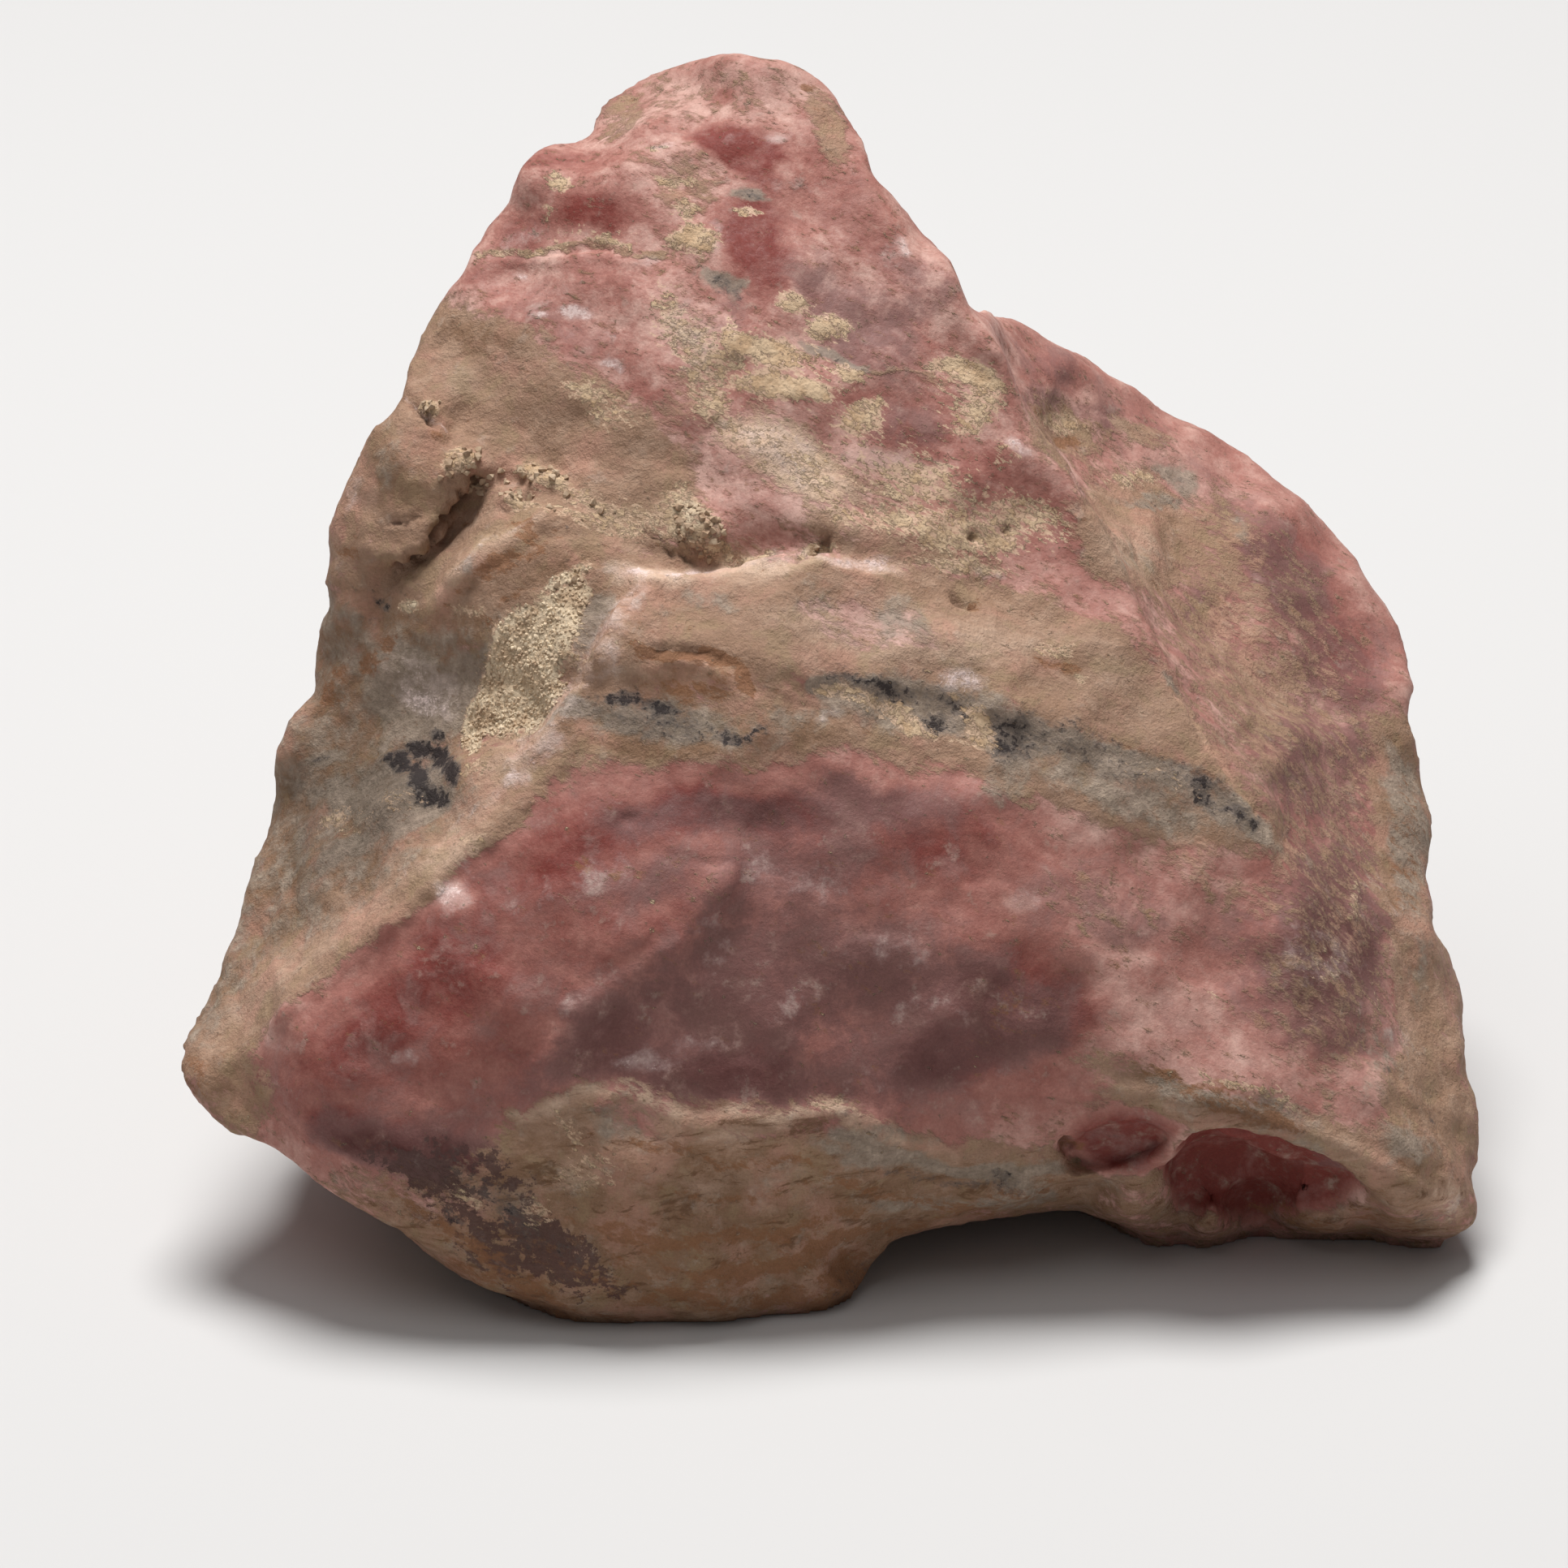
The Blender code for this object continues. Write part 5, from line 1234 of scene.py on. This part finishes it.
def dentedGrain(tree):
    ball = addNode(tree, "GeometryNodeMeshIcoSphere", {"Radius": 1.0, "Subdivisions": 1})
    around = tree.nodes.new("GeometryNodeInputPosition").outputs[0]
    dents = addNode(tree, "ShaderNodeTexNoise", {"Vector": around, "Scale": grainShape["dentScale"]})
    dents = addNode(tree, "ShaderNodeVectorMath", {
        0: dents.outputs["Color"], 1: (0.5, 0.5, 0.5)}, operation="SUBTRACT")
    dents = addNode(tree, "ShaderNodeVectorMath", {
        0: dents.outputs[0], 3: grainShape["dents"]}, operation="SCALE")
    dented = addNode(tree, "GeometryNodeSetPosition", {
        "Geometry": ball.outputs["Mesh"], "Offset": dents.outputs[0]})
    return dented.outputs[0]


def grainTree(material):
    tree = bpy.data.node_groups.new("scatteredGrains", "GeometryNodeTree")
    tree.interface.new_socket("Geometry", in_out="INPUT", socket_type="NodeSocketGeometry")
    tree.interface.new_socket("Field name", in_out="INPUT", socket_type="NodeSocketString")
    for name in ("From", "To", "Density", "Smallest", "Largest"):
        tree.interface.new_socket(name, in_out="INPUT", socket_type="NodeSocketFloat")
    tree.interface.new_socket("Seed", in_out="INPUT", socket_type="NodeSocketInt")
    tree.interface.new_socket("Geometry", in_out="OUTPUT", socket_type="NodeSocketGeometry")
    given = tree.nodes.new("NodeGroupInput").outputs
    result = tree.nodes.new("NodeGroupOutput")

    named = addNode(tree, "GeometryNodeInputNamedAttribute", {
        "Name": given["Field name"]}, data_type="FLOAT")
    share = spread(tree, named.outputs[0], given["From"], given["To"])
    scattered = addNode(tree, "GeometryNodeDistributePointsOnFaces", {
        "Mesh": given["Geometry"], "Density": times(tree, share, given["Density"]),
        "Seed": given["Seed"]}, distribute_method="RANDOM")
    turned = addNode(tree, "FunctionNodeRandomValue", {
        "Min": (0, 0, 0), "Max": grainShape["turn"], "Seed": given["Seed"]}, data_type="FLOAT_VECTOR")
    size = addNode(tree, "FunctionNodeRandomValue", {
        2: given["Smallest"], 3: given["Largest"], "Seed": given["Seed"]}, data_type="FLOAT")
    placed = addNode(tree, "GeometryNodeInstanceOnPoints", {
        "Points": scattered.outputs["Points"], "Instance": dentedGrain(tree),
        "Rotation": turned.outputs[0], "Scale": size.outputs[1]})
    real = addNode(tree, "GeometryNodeRealizeInstances", {"Geometry": placed.outputs[0]})
    painted = addNode(tree, "GeometryNodeSetMaterial", {"Geometry": real.outputs[0], "Material": material})
    tree.links.new(painted.outputs[0], result.inputs[0])
    return tree


def scatterGrains(name):
    values = grains[name]
    tree = grainTree(grainMaterial(name, values["brown"]))
    holder = holdMesh(stone.copy(), name + "Holder")
    modifier = holder.modifiers.new("scatter", "NODES")
    modifier.node_group = tree
    wanted = {
        "Field name": values["field"], "From": values["from"], "To": values["to"], "Seed": values["seed"],
        "Density": values["perSquareMillimetre"] * 1e6,  # a square metre's
        "Smallest": values["smallest"], "Largest": values["largest"]}
    for socket in tree.interface.items_tree:
        if socket.in_out == "INPUT" and socket.name in wanted:
            modifier[socket.identifier] = wanted[socket.name]
    scattered = holdMesh(evaluated(holder, name), name)
    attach(scattered, "root")
    print(name, len(scattered.data.polygons), "faces")


for name in grains:
    scatterGrains(name)

studio = {
    "floorSize": 1.6, "floorTone": (0.62, 0.61, 0.60, 1.0), "floorRoughness": 0.8, "floorDrop": 0.00005,
    "lights": {"overhead": ((-0.02, 0.13, 0.60), 0.30, 4.6), "fill": ((-0.1, -0.2, 0.5), 0.4, 0.4)},
    "skyTone": (0.9, 0.9, 0.92, 1), "skyStrength": 0.18,
}


def addFloor():
    half = studio["floorSize"] / 2
    mesh = bpy.data.meshes.new("floor")
    corners = [(-half, -half, 0), (half, -half, 0), (half, half, 0), (-half, half, 0)]
    mesh.from_pydata(corners, [], [(0, 1, 2, 3)])
    material = bpy.data.materials.new("paleFloor")
    material.use_nodes = True
    feed(material.node_tree, material.node_tree.nodes["Principled BSDF"], {
        "Base Color": studio["floorTone"], "Roughness": studio["floorRoughness"]})
    mesh.materials.append(material)
    floor = holdMesh(mesh, "floor")
    floor.location.z = -studio["floorDrop"]


def addLight(name, location, size, power):
    data = bpy.data.lights.new(name, "AREA")
    data.shape, data.size, data.energy = "DISK", size, power
    light = bpy.data.objects.new(name, data)
    bpy.context.scene.collection.objects.link(light)
    light.location = location
    light.rotation_mode = "QUATERNION"
    light.rotation_quaternion = (Vector(location) - display["middle"]).to_track_quat("Z", "Y")


def addSky():
    world = bpy.data.worlds.new("studio")
    world.use_nodes = True
    feed(world.node_tree, world.node_tree.nodes["Background"], {
        "Color": studio["skyTone"], "Strength": studio["skyStrength"]})
    bpy.context.scene.world = world


addFloor()
for name, (location, size, power) in studio["lights"].items():
    addLight(name, location, size, power)
addSky()
bpy.context.scene.view_settings.view_transform = "Standard"
print("studio set")
